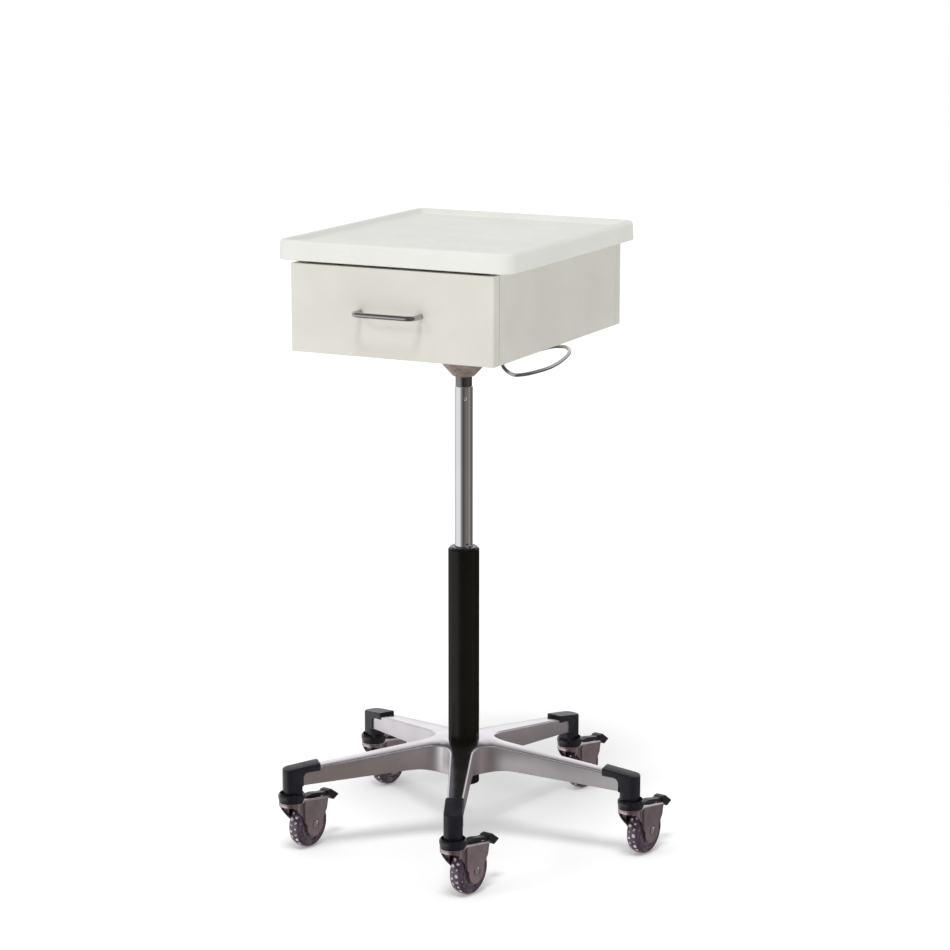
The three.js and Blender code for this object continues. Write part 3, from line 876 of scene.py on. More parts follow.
# Pressed bright steel. Its pink and mauve tint is painted reflection of warm, dark surroundings, not the
# steel's own colour.
FORK_STEEL_PAINTED_REFLECTION = Finish(
    "pressed_steel_painted_pink_reflection", "steel", tint(198, 182, 187), tint(176, 161, 166), 0.06, 0.14,
    metallic=1.0, cloud_scale=40.0, speck_share=0.15, smudge_scale=60.0, grain_scale=70.0,
    grain_depth=0.05, pebble_share=0.1, worn=tint(240, 236, 234), wear_amount=0.6,
)
ZINC = Finish(
    "zinc_plated_steel", "zinc_steel", tint(202, 202, 198), tint(186, 186, 181), 0.24, 0.36,
    metallic=1.0, cloud_scale=30.0, speck_scale=500.0, speck_share=0.12, smudge_scale=40.0,
    grain_scale=300.0, grain_depth=0.004, pebble_share=0.3, worn=tint(226, 226, 222), wear_amount=0.4,
)
RIVET_STEEL = Finish(
    "polished_rivet_steel", "zinc_steel", tint(232, 226, 226), tint(214, 206, 208), 0.06, 0.14,
    metallic=1.0, cloud_scale=120.0, smudge_scale=120.0, grain_scale=300.0, grain_depth=0.01,
    pebble_share=0.2,
)
ENAMEL = Finish(
    "gloss_black_enamel", "black_enamel", tint(23, 21, 16), tint(16, 15, 11), 0.08, 0.14,
    cloud_scale=14.0, smudge_scale=18.0, grain_scale=220.0, grain_depth=0.006, pebble_share=0.2,
    worn=tint(60, 58, 52), wear_amount=0.3, specular=0.2, dust_amount=0.01,
    grazing_dim=0.95,
)
BLACK_PLASTIC = Finish(
    "satin_black_plastic", "black_plastic", tint(30, 30, 38), tint(23, 23, 30), 0.26, 0.4,
    cloud_scale=40.0, smudge_scale=70.0, grain_scale=1100.0, grain_depth=0.03, pebble_share=0.6,
    worn=tint(74, 74, 84), wear_amount=0.3, dust_amount=0.015, specular=0.4,
)
GLOSS_PLASTIC = Finish(
    "gloss_black_plastic", "black_plastic", tint(24, 24, 30), tint(16, 16, 21), 0.1, 0.2,
    cloud_scale=40.0, smudge_scale=70.0, grain_scale=500.0, grain_depth=0.01, pebble_share=0.2,
    worn=tint(70, 70, 80), wear_amount=0.25, coat=0.3, specular=0.4,
)
WARM_GREY = Finish(
    "mottled_warm_grey", "warm_grey", tint(176, 160, 150), tint(132, 116, 106), 0.28, 0.44,
    metallic=0.35, cloud_scale=55.0, speck_scale=260.0, speck_share=0.5, smudge_scale=60.0,
    grain_scale=260.0, grain_depth=0.06, pebble_share=0.5,
)
# Painted shade: dark warm grey on thin strips in the cabinet's seams, so the gaps read as dark shade.
SEAM_SHADE = Finish(
    "painted_seam_shade", "laminate", tint(74, 68, 62), tint(52, 48, 43), 0.5, 0.7,
    grain_scale=900.0, grain_depth=0.03, pebble_share=0.5, specular=0.2,
)
TRAY_GREY = Finish(
    "light_grey_tray", "tray_grey", tint(208, 208, 203), tint(196, 196, 190), 0.4, 0.55,
    grain_scale=900.0, grain_depth=0.03, pebble_share=0.7, dust_amount=0.08,
)
RIM_GREY = Finish(
    "smoky_wheel_core", "rim_grey", tint(108, 100, 106), tint(70, 64, 70), 0.2, 0.36,
    cloud_scale=120.0, smudge_scale=120.0, grain_scale=500.0, grain_depth=0.02, pebble_share=0.4,
    worn=tint(170, 160, 166), wear_amount=0.8, coat=0.3,
)
SMOKY_TYRE = Finish(
    "smoky_glossy_tyre", "smoky_tyre", tint(92, 76, 92), tint(38, 29, 41), 0.08, 0.2,
    cloud_scale=130.0, speck_scale=420.0, speck_share=0.3, smudge_scale=140.0, grain_scale=300.0,
    grain_depth=0.05, pebble_share=0.2, coat=0.8, dust_amount=0.0,
)
PALE_STUD = Finish(
    "pale_tread_studs", "smoky_tyre", tint(252, 236, 246), tint(34, 26, 36), 0.08, 0.2,
    cloud_scale=210.0, speck_scale=300.0, speck_share=0.2, smudge_scale=160.0, grain_scale=700.0,
    grain_depth=0.01, pebble_share=0.3, coat=0.6,
)


# ---------------------------------------------------------------- where pieces stand


@dataclass(frozen=True)
class Frame:
    """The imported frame's own places that the visual pieces are set out from."""

    axis: Vector

    @classmethod
    def read(cls) -> "Frame":
        """Finds the column's axis from the column sleeve.

        Returns:
            The frame.
        """
        low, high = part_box("column_sleeve")
        return cls(Vector(((low.x + high.x) / 2, (low.y + high.y) / 2, 0.0)))

    def place(self, degrees: float = 0.0) -> Matrix:
        """The place of a piece set out from the column's axis and turned about it."""
        return Matrix.Translation(self.axis) @ Matrix.Rotation(math.radians(degrees), 4, "Z")

    def caster(self, number: int, degrees: float) -> Matrix:
        """The place of a caster on its stem.

        Args:
            number: which caster.
            degrees: how far it is turned from trailing straight back.

        Returns:
            The place.
        """
        low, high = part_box(f"swivel_head_{number}")
        stem = Vector(((low.x + high.x) / 2, (low.y + high.y) / 2, 0.0))
        return Matrix.Translation(stem) @ Matrix.Rotation(math.radians(degrees), 4, "Z")


def fit(piece: Piece, body: str, finish: Finish, place: Matrix, replaced: Sequence[str] = ()) -> Piece:
    """Puts a piece in place on its body, with its finish.

    Args:
        piece: the new piece.
        body: the CAD body that it rides on.
        finish: its finish.
        place: where it stands.
        replaced: the CAD nodes that it stands for.

    Returns:
        The piece.
    """
    piece.data.materials.clear()
    piece.data.materials.append(finish.material())
    piece.matrix_world = place
    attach(piece, body)
    if replaced:
        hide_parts(*replaced)
    LOG.info("%s rides on %s", piece.name, body)
    return piece


def repaint(frame_nodes: dict[str, Piece], node: str, finish: Finish) -> None:
    """Gives a CAD node that stays in view a finish.

    Args:
        frame_nodes: the frame's nodes.
        node: which one.
        finish: its new finish.
    """
    material = finish.material()
    for seat in frame_nodes[node].material_slots:
        seat.material = material
    LOG.info("%s is dressed in %s", node, finish.name)


# ---------------------------------------------------------------- worktop and cabinet


@dataclass
class Worktop:
    """The moulded worktop: a shallow tray inside a rolled lip."""

    half_width: float = 198.7
    front: float = -246.0
    rear: float = 227.0
    bottom: float = 969.8
    top: float = 1000.4
    corner: float = 22.7
    draft: float = 1.3
    edge: float = 5.5
    lip: float = 13.0
    recess: float = 8.0
    cove: float = 6.0

    def profile(self) -> list[Point]:
        """The edge's section as (inset from the outline, height), from the underside to the tray.

        Returns:
            The section's points.
        """
        foot = arc((2.0, self.bottom + 2.0), 2.0, 270, 180, 4)
        edge = self.edge
        shoulder = arc((self.draft + edge, self.top - edge), edge, 180, 90, 7)
        crown = arc((self.lip - 3.0, self.top - 4.0), 4.0, 90, 40, 5)
        cove = arc((self.lip + 0.6 + self.cove, self.top - self.recess + self.cove), self.cove,
                   215, 270, 5)
        return foot + shoulder + crown + cove

    def build(self, frame: Frame) -> None:
        """Builds and fits the worktop.

        Args:
            frame: where the pieces stand.
        """
        loops = []
        for inset, z in self.profile():
            outline = rounded_rectangle(
                -self.half_width + inset, self.half_width - inset, self.front + inset,
                self.rear - inset, max(self.corner - inset, 3.0), 10,
            )
            loops.append([(x, y, z) for x, y in outline])
        top = stack("moulded_worktop", loops)
        shade(top, 50, weighted=True)
        fit(top, "upper", MOULDED_TOP, frame.place(), ["worktop"])


@dataclass
class Cabinet:
    """The cabinet's boards, dark strips of painted shade in their seams and the screw covers on the back.
    """

    half_width: float = 171.0
    front: float = -244.5
    rear: float = 222.0
    bottom: float = 831.0
    top: float = 969.5
    board: float = 16.0
    front_board: float = 19.0
    floor_lift: float = 0.8
    gap: float = 0.9
    drawer_gap: float = 1.7
    edge: float = 0.9

    def boards(self) -> dict[str, tuple[str, Point3, Point3]]:
        """Each board's piece name with its CAD node and corners.

        Returns:
            The CAD node, lowest corner and highest corner for each piece's name.
        """
        side_front = self.front + self.front_board + self.drawer_gap
        side_rear = self.rear - self.board - self.gap
        inner = self.half_width - self.board
        floor = self.bottom + self.floor_lift
        return {
            "left_side_board": ("cabinet_side_left", (-self.half_width, side_front, self.bottom),
                                (-inner, side_rear, self.top)),
            "right_side_board": ("cabinet_side_right", (inner, side_front, self.bottom),
                                 (self.half_width, side_rear, self.top)),
            "floor_board": ("cabinet_bottom", (-inner + self.gap, side_front, floor),
                            (inner - self.gap, side_rear, floor + self.board)),
            "back_board": ("cabinet_back", (-self.half_width, self.rear - self.board, self.bottom),
                           (self.half_width, self.rear, self.top)),
        }

    def build(self, frame: Frame) -> None:
        """Builds and fits the boards, the covers and the strips of painted seam shade.

        Args:
            frame: where the pieces stand.
        """
        for name, (node, low, high) in self.boards().items():
            board = cushioned_block(name, low, high, self.edge, self.edge, 3)
            shade(board, 50, weighted=True)
            fit(board, "upper", LAMINATE, frame.place(), [node])
        fit(self.covers(), "upper", LAMINATE, frame.place())
        fit(self.seam_shade_strips(), "upper", SEAM_SHADE, frame.place())

    def seam_shade_strips(self) -> Piece:
        """Dark strips set back in the seams before and behind the side boards, as painted shade in the
        gaps.

        Returns:
            The strips, as one piece.
        """
        front = self.front + self.front_board + self.drawer_gap
        rear = self.rear - self.board
        parts = []
        for hand in Hand:
            sides = sorted((hand.value * (self.half_width - 0.9), hand.value * (self.half_width - 4.0)))
            for low, high in ((front - 1.0, front + 0.05), (rear - self.gap - 0.05, rear + 0.05)):
                corners = [(sides[0], low), (sides[1], low), (sides[1], high), (sides[0], high)]
                parts.append(prism("seam_shade_strip", corners, self.bottom + 1.0, self.top - 5.0))
        return gather("painted_seam_shade_strips", parts)

    def covers(self) -> Piece:
        """Round covers over the screws that hold the back board.

        Returns:
            The covers, as one piece.
        """
        caps = []
        for x in (-163.0, -60.0, 60.0, 163.0):
            for z in (self.bottom + 8.5, self.top - 14.0):
                caps.append(stud("cover", (x, self.rear, z), (0, 1, 0), 5.2, 0.9))
        return gather("back_screw_covers", caps)


def stud(name: str, centre: Point3, facing: Point3, radius: float, rise: float, sides: int = 16) -> Piece:
    """A low round dome that stands on a surface.

    Args:
        name: the object's name.
        centre: the middle of its foot.
        facing: the way that it faces.
        radius: its radius.
        rise: its height.
        sides: facets round it.

    Returns:
        The solid.
    """
    dome = [(0.0, -0.3), (radius, -0.3), (radius, rise * 0.25), (radius * 0.86, rise * 0.72),
            (radius * 0.55, rise * 0.94), (0.0, rise)]
    piece = lathe(name, dome, sides)
    turn = Vector(facing).to_track_quat("Z", "Y").to_matrix().to_4x4()
    piece.data.transform(Matrix.Translation(Vector(centre) * MM) @ turn)
    shade(piece, 60)
    return piece


@dataclass
class Drawer:
    """The drawer: front board, moulded tray and wire pull."""

    half_width: float = 171.0
    front: float = -244.5
    bottom: float = 831.0
    top: float = 966.0
    thickness: float = 19.0
    front_round: float = 2.4
    edge: float = 1.4
    tray_half: float = 141.0
    tray_rear: float = 188.0
    tray_bottom: float = 853.0
    tray_top: float = 940.0
    wall: float = 3.0
    pull_radius: float = 3.9
    pull_half: float = 51.0
    pull_height: float = 899.0
    standoff: float = 28.0
    bend: float = 12.0

    def build(self, frame: Frame) -> None:
        """Builds and fits the drawer's pieces.

        Args:
            frame: where the pieces stand.
        """
        fit(self.front_board(), "drawer", LAMINATE, frame.place(), ["drawer_front"])
        fit(self.tray(), "drawer", TRAY_GREY, frame.place(), ["drawer_tray"])
        fit(self.pull(), "drawer", DARK_CHROME, frame.place(), ["drawer_handle"])

    def front_board(self) -> Piece:
        """The front board, with rounded front edges.

        Returns:
            The board.
        """
        back = self.front + self.thickness
        quarter = arc((self.edge, self.edge), self.edge, 270, 180, 4)
        levels = [(inset, self.bottom + rise) for inset, rise in quarter]
        levels += [(inset, self.top - rise) for inset, rise in reversed(quarter)]
        loops = []
        for inset, z in levels:
            x, y = self.half_width - inset * 0.5, self.front + inset
            outline = soft_outline([
                (-x, y, self.front_round), (x, y, self.front_round), (x, back, 0.6), (-x, back, 0.6),
            ], 8)
            loops.append([(px, py, z) for px, py in outline])
        board = stack("drawer_front_board", loops)
        shade(board, 50, weighted=True)
        return board

    def tray(self) -> Piece:
        """The open tray behind the front board, with a rolled rim.

        Returns:
            The tray.
        """
        behind = self.front + self.thickness + 0.3
        wall, low, high = self.wall, self.tray_bottom, self.tray_top
        section = arc((2.0, low + 2.0), 2.0, 270, 180, 4)
        section += arc((wall / 2, high - wall / 2), wall / 2, 180, 0, 6)
        section += arc((wall + 4.0, low + wall + 4.0), 4.0, 180, 270, 5)
        loops = []
        for inset, z in section:
            outline = rounded_rectangle(
                -self.tray_half + inset, self.tray_half - inset, behind + inset,
                self.tray_rear - inset, max(7.0 - inset, 2.0), 6,
            )
            loops.append([(x, y, z) for x, y in outline])
        tray = stack("moulded_drawer_tray", loops)
        shade(tray, 50, weighted=True)
        return tray

    def pull(self) -> Piece:
        """The bent wire pull.

        Returns:
            The pull.
        """
        face, bar = self.front + 0.2, self.front - self.standoff
        height, half, bend = self.pull_height, self.pull_half, self.bend
        left = arc((-half + bend, bar + bend), bend, 180, 270, 10)
        right = arc((half - bend, bar + bend), bend, 270, 360, 10)
        line = [(-half, face), (-half, (face + bar + bend) / 2)] + left
        line += [(0.0, bar)] + right + [(half, (face + bar + bend) / 2), (half, face)]
        path = [Vector((x, y, height)) for x, y in line]
        pull = sweep("wire_pull", path, self.pull_radius, 24)
        shade(pull, 60)
        return pull


@dataclass
class Slides:
    """The drawer's channel rails and the runners that slide in them."""

    bottom: float = 878.0
    top: float = 918.0
    front: float = -225.2
    rear: float = 190.0
    sheet: float = 1.4
    board_face: float = 154.7
    tray_face: float = 141.3
    lip: float = 5.0

    def section(self, moving: bool) -> list[Point]:
        """The (x, z) outline of a right-hand rail or runner.

        Args:
            moving: True for the runner on the tray.

        Returns:
            The outline.
        """
        wall, low, high = self.board_face, self.bottom, self.top
        edge = self.tray_face + self.lip
        if not moving:
            corners = [(wall, low, 1.8), (wall, high, 1.8), (edge, high, 0.5),
                       (edge, high - self.sheet, 0.5), (wall - self.sheet, high - self.sheet, 0.5),
                       (wall - self.sheet, low + self.sheet, 0.5), (edge, low + self.sheet, 0.5),
                       (edge, low, 0.5)]
        else:
            face = self.tray_face
            out, foot, head = wall - self.sheet - 1.2, low + 3, high - 3
            corners = [(face, foot, 1.8), (out, foot, 0.5), (out, foot + self.sheet, 0.5),
                       (face + self.sheet, foot + self.sheet, 0.5),
                       (face + self.sheet, head - self.sheet, 0.5), (out, head - self.sheet, 0.5),
                       (out, head, 0.5), (face, head, 1.8)]
        return soft_outline(corners, 3)

    def build(self, frame: Frame) -> None:
        """Builds and fits both hands of rail and runner.

        Args:
            frame: where the pieces stand.
        """
        for hand in Hand:
            side = hand.name.lower()
            for moving in (False, True):
                outline = [(hand.value * x, z) for x, z in self.section(moving)]
                ends = (self.front, self.rear)
                name = f"{side}_tray_runner" if moving else f"{side}_channel_rail"
                node = f"drawer_runner_{side}" if moving else f"slide_rail_{side}"
                strip = stack(name, [[(x, y, z) for x, z in outline] for y in ends])
                shade(strip, 30)
                fit(strip, "drawer" if moving else "upper", ZINC, frame.place(), [node])


# ---------------------------------------------------------------- lift column


@dataclass
class LiftColumn:
    """The enamelled sleeve with its bush, and the chromed cylinder with a thin dark sleeve of painted
    shade on its neck.
    """

    sleeve_radius: float = 25.0
    sleeve_wall: float = 2.4
    sleeve_bottom: float = 97.0
    sleeve_top: float = 487.0
    plate: float = 99.5
    rod_hole: float = 5.4
    bush_length: float = 55.0
    bush_lip: float = 3.4
    tube_radius: float = 14.3
    tube_wall: float = 1.9
    tube_bottom: float = 365.0
    inside: Point = (375.0, 735.0)
    valve_bore: float = 3.8
    shoulder: float = 751.0
    neck_radius: float = 13.0
    neck_top: float = 808.0
    neck_skin: float = 0.12
    dimples: tuple[Point, ...] = ((-55.0, 733.0), (-39.0, 494.0))
    dimple_ball: float = 3.6
    dimple_height: float = 1.45

    def build(self, frame: Frame) -> None:
        """Builds and fits the column's pieces.

        Args:
            frame: where the pieces stand.
        """
        fit(self.sleeve(), "base", ENAMEL, frame.place(), ["column_sleeve"])
        fit(self.bush(), "base", GLOSS_PLASTIC, frame.place(), ["guide_bush"])
        fit(self.tube(), "upper", CHROME, frame.place(), ["gas_cylinder"])
        # The neck's dark sleeve is painted shade laid over the chromed neck.
        fit(self.neck(), "upper", NECK_SHADE_DARK_CHROME, frame.place())

    def sleeve(self) -> Piece:
        """The outer tube, round at its shoulder, with the plate across its foot.

        Returns:
            The sleeve.
        """
        outer, bore = self.sleeve_radius, self.sleeve_radius - self.sleeve_wall
        low, top, plate = self.sleeve_bottom, self.sleeve_top, self.plate
        profile = soft_outline([
            (self.rod_hole, plate, 0.2), (bore, plate, 0.2), (bore, low, 0.6), (outer, low, 0.8),
            (outer, top, 2.2), (bore, top, 0.15), (bore, plate + 3, 0.2),
            (self.rod_hole, plate + 3, 0.2),
        ], 6)
        sleeve = lathe("enamelled_sleeve", profile, 96)
        shade(sleeve, 40)
        return sleeve

    def bush(self) -> Piece:
        """The guide bush in the sleeve's mouth.

        Returns:
            The bush.
        """
        fit_radius = self.sleeve_radius - self.sleeve_wall - 0.3
        slide, top = self.tube_radius + 0.4, self.sleeve_top
        profile = soft_outline([
            (slide, top - self.bush_length, 0.3), (fit_radius, top - self.bush_length, 0.3),
            (fit_radius, top + 0.3, 0.1), (self.sleeve_radius - 2, top + 0.3, 0.3),
            (self.sleeve_radius - 3, top + self.bush_lip, 1.4), (slide, top + self.bush_lip, 1.2),
        ], 5)
        bush = lathe("guide_bush_ring", profile, 96)
        shade(bush, 40)
        return bush

    def neck(self) -> Piece:
        """A thin dark sleeve over the cylinder's neck, painted shade for the neck in the shadow under the
        bell socket.

        Returns:
            The dark ring.
        """
        inner, outer = self.neck_radius - 0.4, self.neck_radius + self.neck_skin
        low, high = self.shoulder + 0.1, self.neck_top - 1.0
        ring = lathe("painted_shade_neck_sleeve", [(inner, low), (outer, low), (outer, high), (inner, high)], 96)
        shade(ring, 40)
        return ring

    def tube(self) -> Piece:
        """The chromed cylinder, with two pressed dimples.

        Returns:
            The cylinder.
        """
        outer, bore = self.tube_radius, self.tube_radius - self.tube_wall
        floor, ceiling = self.inside
        profile = soft_outline([
            (self.rod_hole, self.tube_bottom, 0.3), (outer, self.tube_bottom, 1.2),
            (outer, self.shoulder, 1.1), (self.neck_radius, self.shoulder, 0.3),
            (self.neck_radius, self.neck_top, 0.6), (self.valve_bore, self.neck_top, 0.3),
            (self.valve_bore, ceiling, 0.2), (bore, ceiling, 0.2), (bore, floor, 0.2),
            (self.rod_hole, floor, 0.2),
        ], 5)
        for level in sorted(z + side for _, z in self.dimples for side in (-5.0, 5.0)):
            seat = next(i for i, p in enumerate(profile) if p[1] > level)
            profile.insert(seat, (outer, level))
        tube = lathe("chromed_cylinder", profile, 96)
        cutters = []
        for degrees, z in self.dimples:
            angle = math.radians(degrees)
            ball = lathe("dimple", arc((0, 0), self.dimple_ball, -90, 90, 12), 24)
            ball.data.transform(Matrix.Diagonal((1.0, 1.0, self.dimple_height, 1.0)))
            out = outer + self.dimple_ball * 2 / 3
            seat = Vector((out * math.cos(angle), out * math.sin(angle), z)) * MM
            ball.data.transform(Matrix.Translation(seat))
            cutters.append(ball)
        combine(tube, gather("dimples", cutters), Combine.CUT)
        shade(tube, 30)
        return tube


@dataclass
class UnderCabinet:
    """What joins the column to the cabinet: plate, bell socket, lever bracket and bolts."""

    plate_half: float = 85.0
    plate_bottom: float = 826.5
    plate_thickness: float = 5.0
    plate_corner: float = 14.0
    bolt_circle: float = 69.0
    neck_bore: float = 13.3
    pivot_x: float = 54.0
    pivot_z: float = 807.0

    def build(self, frame: Frame) -> None:
        """Builds and fits the pieces under the cabinet.

        Args:
            frame: where the pieces stand.
        """
        low = (-self.plate_half, -self.plate_half, self.plate_bottom)
        high = (self.plate_half, self.plate_half, self.plate_bottom + self.plate_thickness)
        plate = cushioned_block("fixing_plate", low, high, self.plate_corner, 0.7, 8)
        shade(plate, 50, weighted=True)
        fit(plate, "upper", ZINC, frame.place(), ["mount_plate"])
        fit(self.bell(), "upper", WARM_GREY, frame.place(), ["socket_cone"])
        fit(self.bracket(), "upper", ZINC, frame.place(), ["release_bracket"])
        fit(self.bolts(), "upper", ZINC, frame.place())

    def bell(self) -> Piece:
        """The flared socket that grips the cylinder's neck, with a window for the lever.

        Returns:
            The socket.
        """
        bore = self.neck_bore
        profile = soft_outline([
            (bore, 767.3, 0.3), (16.2, 767.3, 0.6), (18.2, 768.6, 1.5), (33.0, 784.8, 10.0),
            (38.2, 793.5, 9.0), (40.0, 802.0, 8.0), (40.0, 819.0, 3.0), (46.0, 821.4, 1.2),
            (46.0, 826.2, 0.5), (bore, 826.2, 0.2),
        ], 8)
        bell = lathe("bell_socket", profile, 96)
        window = cushioned_block("window", (-11.0, -11.5, 808.3), (60.0, 11.5, 840.0), 1.5, 1.0, 3)
        combine(bell, window, Combine.CUT)
        shade(bell, 35)
        return bell

    def bracket(self) -> Piece:
        """The folded bracket that carries the lever's pivot.

        Returns:
            The bracket.
        """
        top, low = self.plate_bottom - 0.3, self.pivot_z - 5
        outline = soft_outline([
            (-15.5, top, 2.4), (-15.5, low, 1.4), (-12.5, low, 1.4), (-12.5, top - 3, 1.0),
            (12.5, top - 3, 1.0), (12.5, low, 1.4), (15.5, low, 1.4), (15.5, top, 2.4),
        ], 4)
        ends = (self.pivot_x - 6, self.pivot_x + 6)
        bracket = stack("lever_bracket", [[(x, y, z) for y, z in outline] for x in ends])
        shade(bracket, 30)
        return bracket

    def bolts(self) -> Piece:
        """The four hexagon bolts, with washers, under the plate's corners.

        Returns:
            The bolts, as one piece.
        """
        parts = []
        face = self.plate_bottom
        for x in (-self.bolt_circle, self.bolt_circle):
            for y in (-self.bolt_circle, self.bolt_circle):
                washer = lathe("washer", [(0, face - 1.4), (7.6, face - 1.4), (8.0, face - 1.0),
                                          (8.0, face + 0.1), (0, face + 0.1)], 32)
                head = lathe("head", [(0, face - 6.2), (4.9, face - 6.2), (5.9, face - 5.6),
                                      (5.9, face - 1.3), (0, face - 1.3)], 6, x + y)
                for part in (washer, head):
                    part.data.transform(Matrix.Translation(Vector((x, y, 0)) * MM))
                    shade(part, 30)
                    parts.append(part)
        return gather("plate_bolts", parts)


@dataclass
class ReleaseLever:
    """The bent wire lever, its paddle over the valve pin, and its pivot pin."""

    wire: float = 2.8
    pin: float = 2.5
    pivot_x: float = 54.0
    pivot_z: float = 807.0
    paddle_bottom: float = 818.2
    knots: tuple[Point3, ...] = (
        (-5, -6, 822), (18, -6, 821), (40, -6, 817), (60, -6.5, 813), (80, -30, 807), (111, -86, 803),
        (147, -133, 803), (157, -139, 803), (166, -129, 803), (174, -90, 803), (175, -50, 803),
        (164, 17, 803), (145, 83, 803), (127, 117, 803), (115, 128, 803), (103, 125, 803),
        (97, 112, 803), (95, 78, 804), (82, 34, 807), (60, 6.5, 813), (40, 6, 817), (18, 6, 821),
        (-5, 6, 822),
    )

    def build(self, frame: Frame) -> None:
        """Builds and fits the lever's pieces.

        Args:
            frame: where the pieces stand.
        """
        loop = sweep("wire_lever", smooth_path(self.knots, 8), self.wire, 18)
        shade(loop, 60)
        fit(loop, "lever", DARK_CHROME, frame.place(), ["release_lever"])
        low, high = (-8.0, -9.0, self.paddle_bottom), (8.0, 9.0, 821.5)
        paddle = cushioned_block("lever_paddle", low, high, 3.0, 0.6)
        shade(paddle, 50, weighted=True)
        fit(paddle, "lever", ZINC, frame.place())
        profile = [(0, -16.5), (self.pin - 0.4, -16.5), (self.pin, -16.1), (self.pin, 16.1),
                   (self.pin - 0.4, 16.5), (0, 16.5)]
        pin = lathe("lever_pivot", profile, 32)
        seat = Matrix.Translation(Vector((self.pivot_x, 0, self.pivot_z)) * MM)
        pin.data.transform(seat @ Matrix.Rotation(math.pi / 2, 4, "X"))
        shade(pin, 40)
        fit(pin, "lever", ZINC, frame.place(), ["lever_pivot_pin"])


# ---------------------------------------------------------------- base


LEG_ANGLES = (-66.7, 5.3, 77.3, 149.3, 221.3)


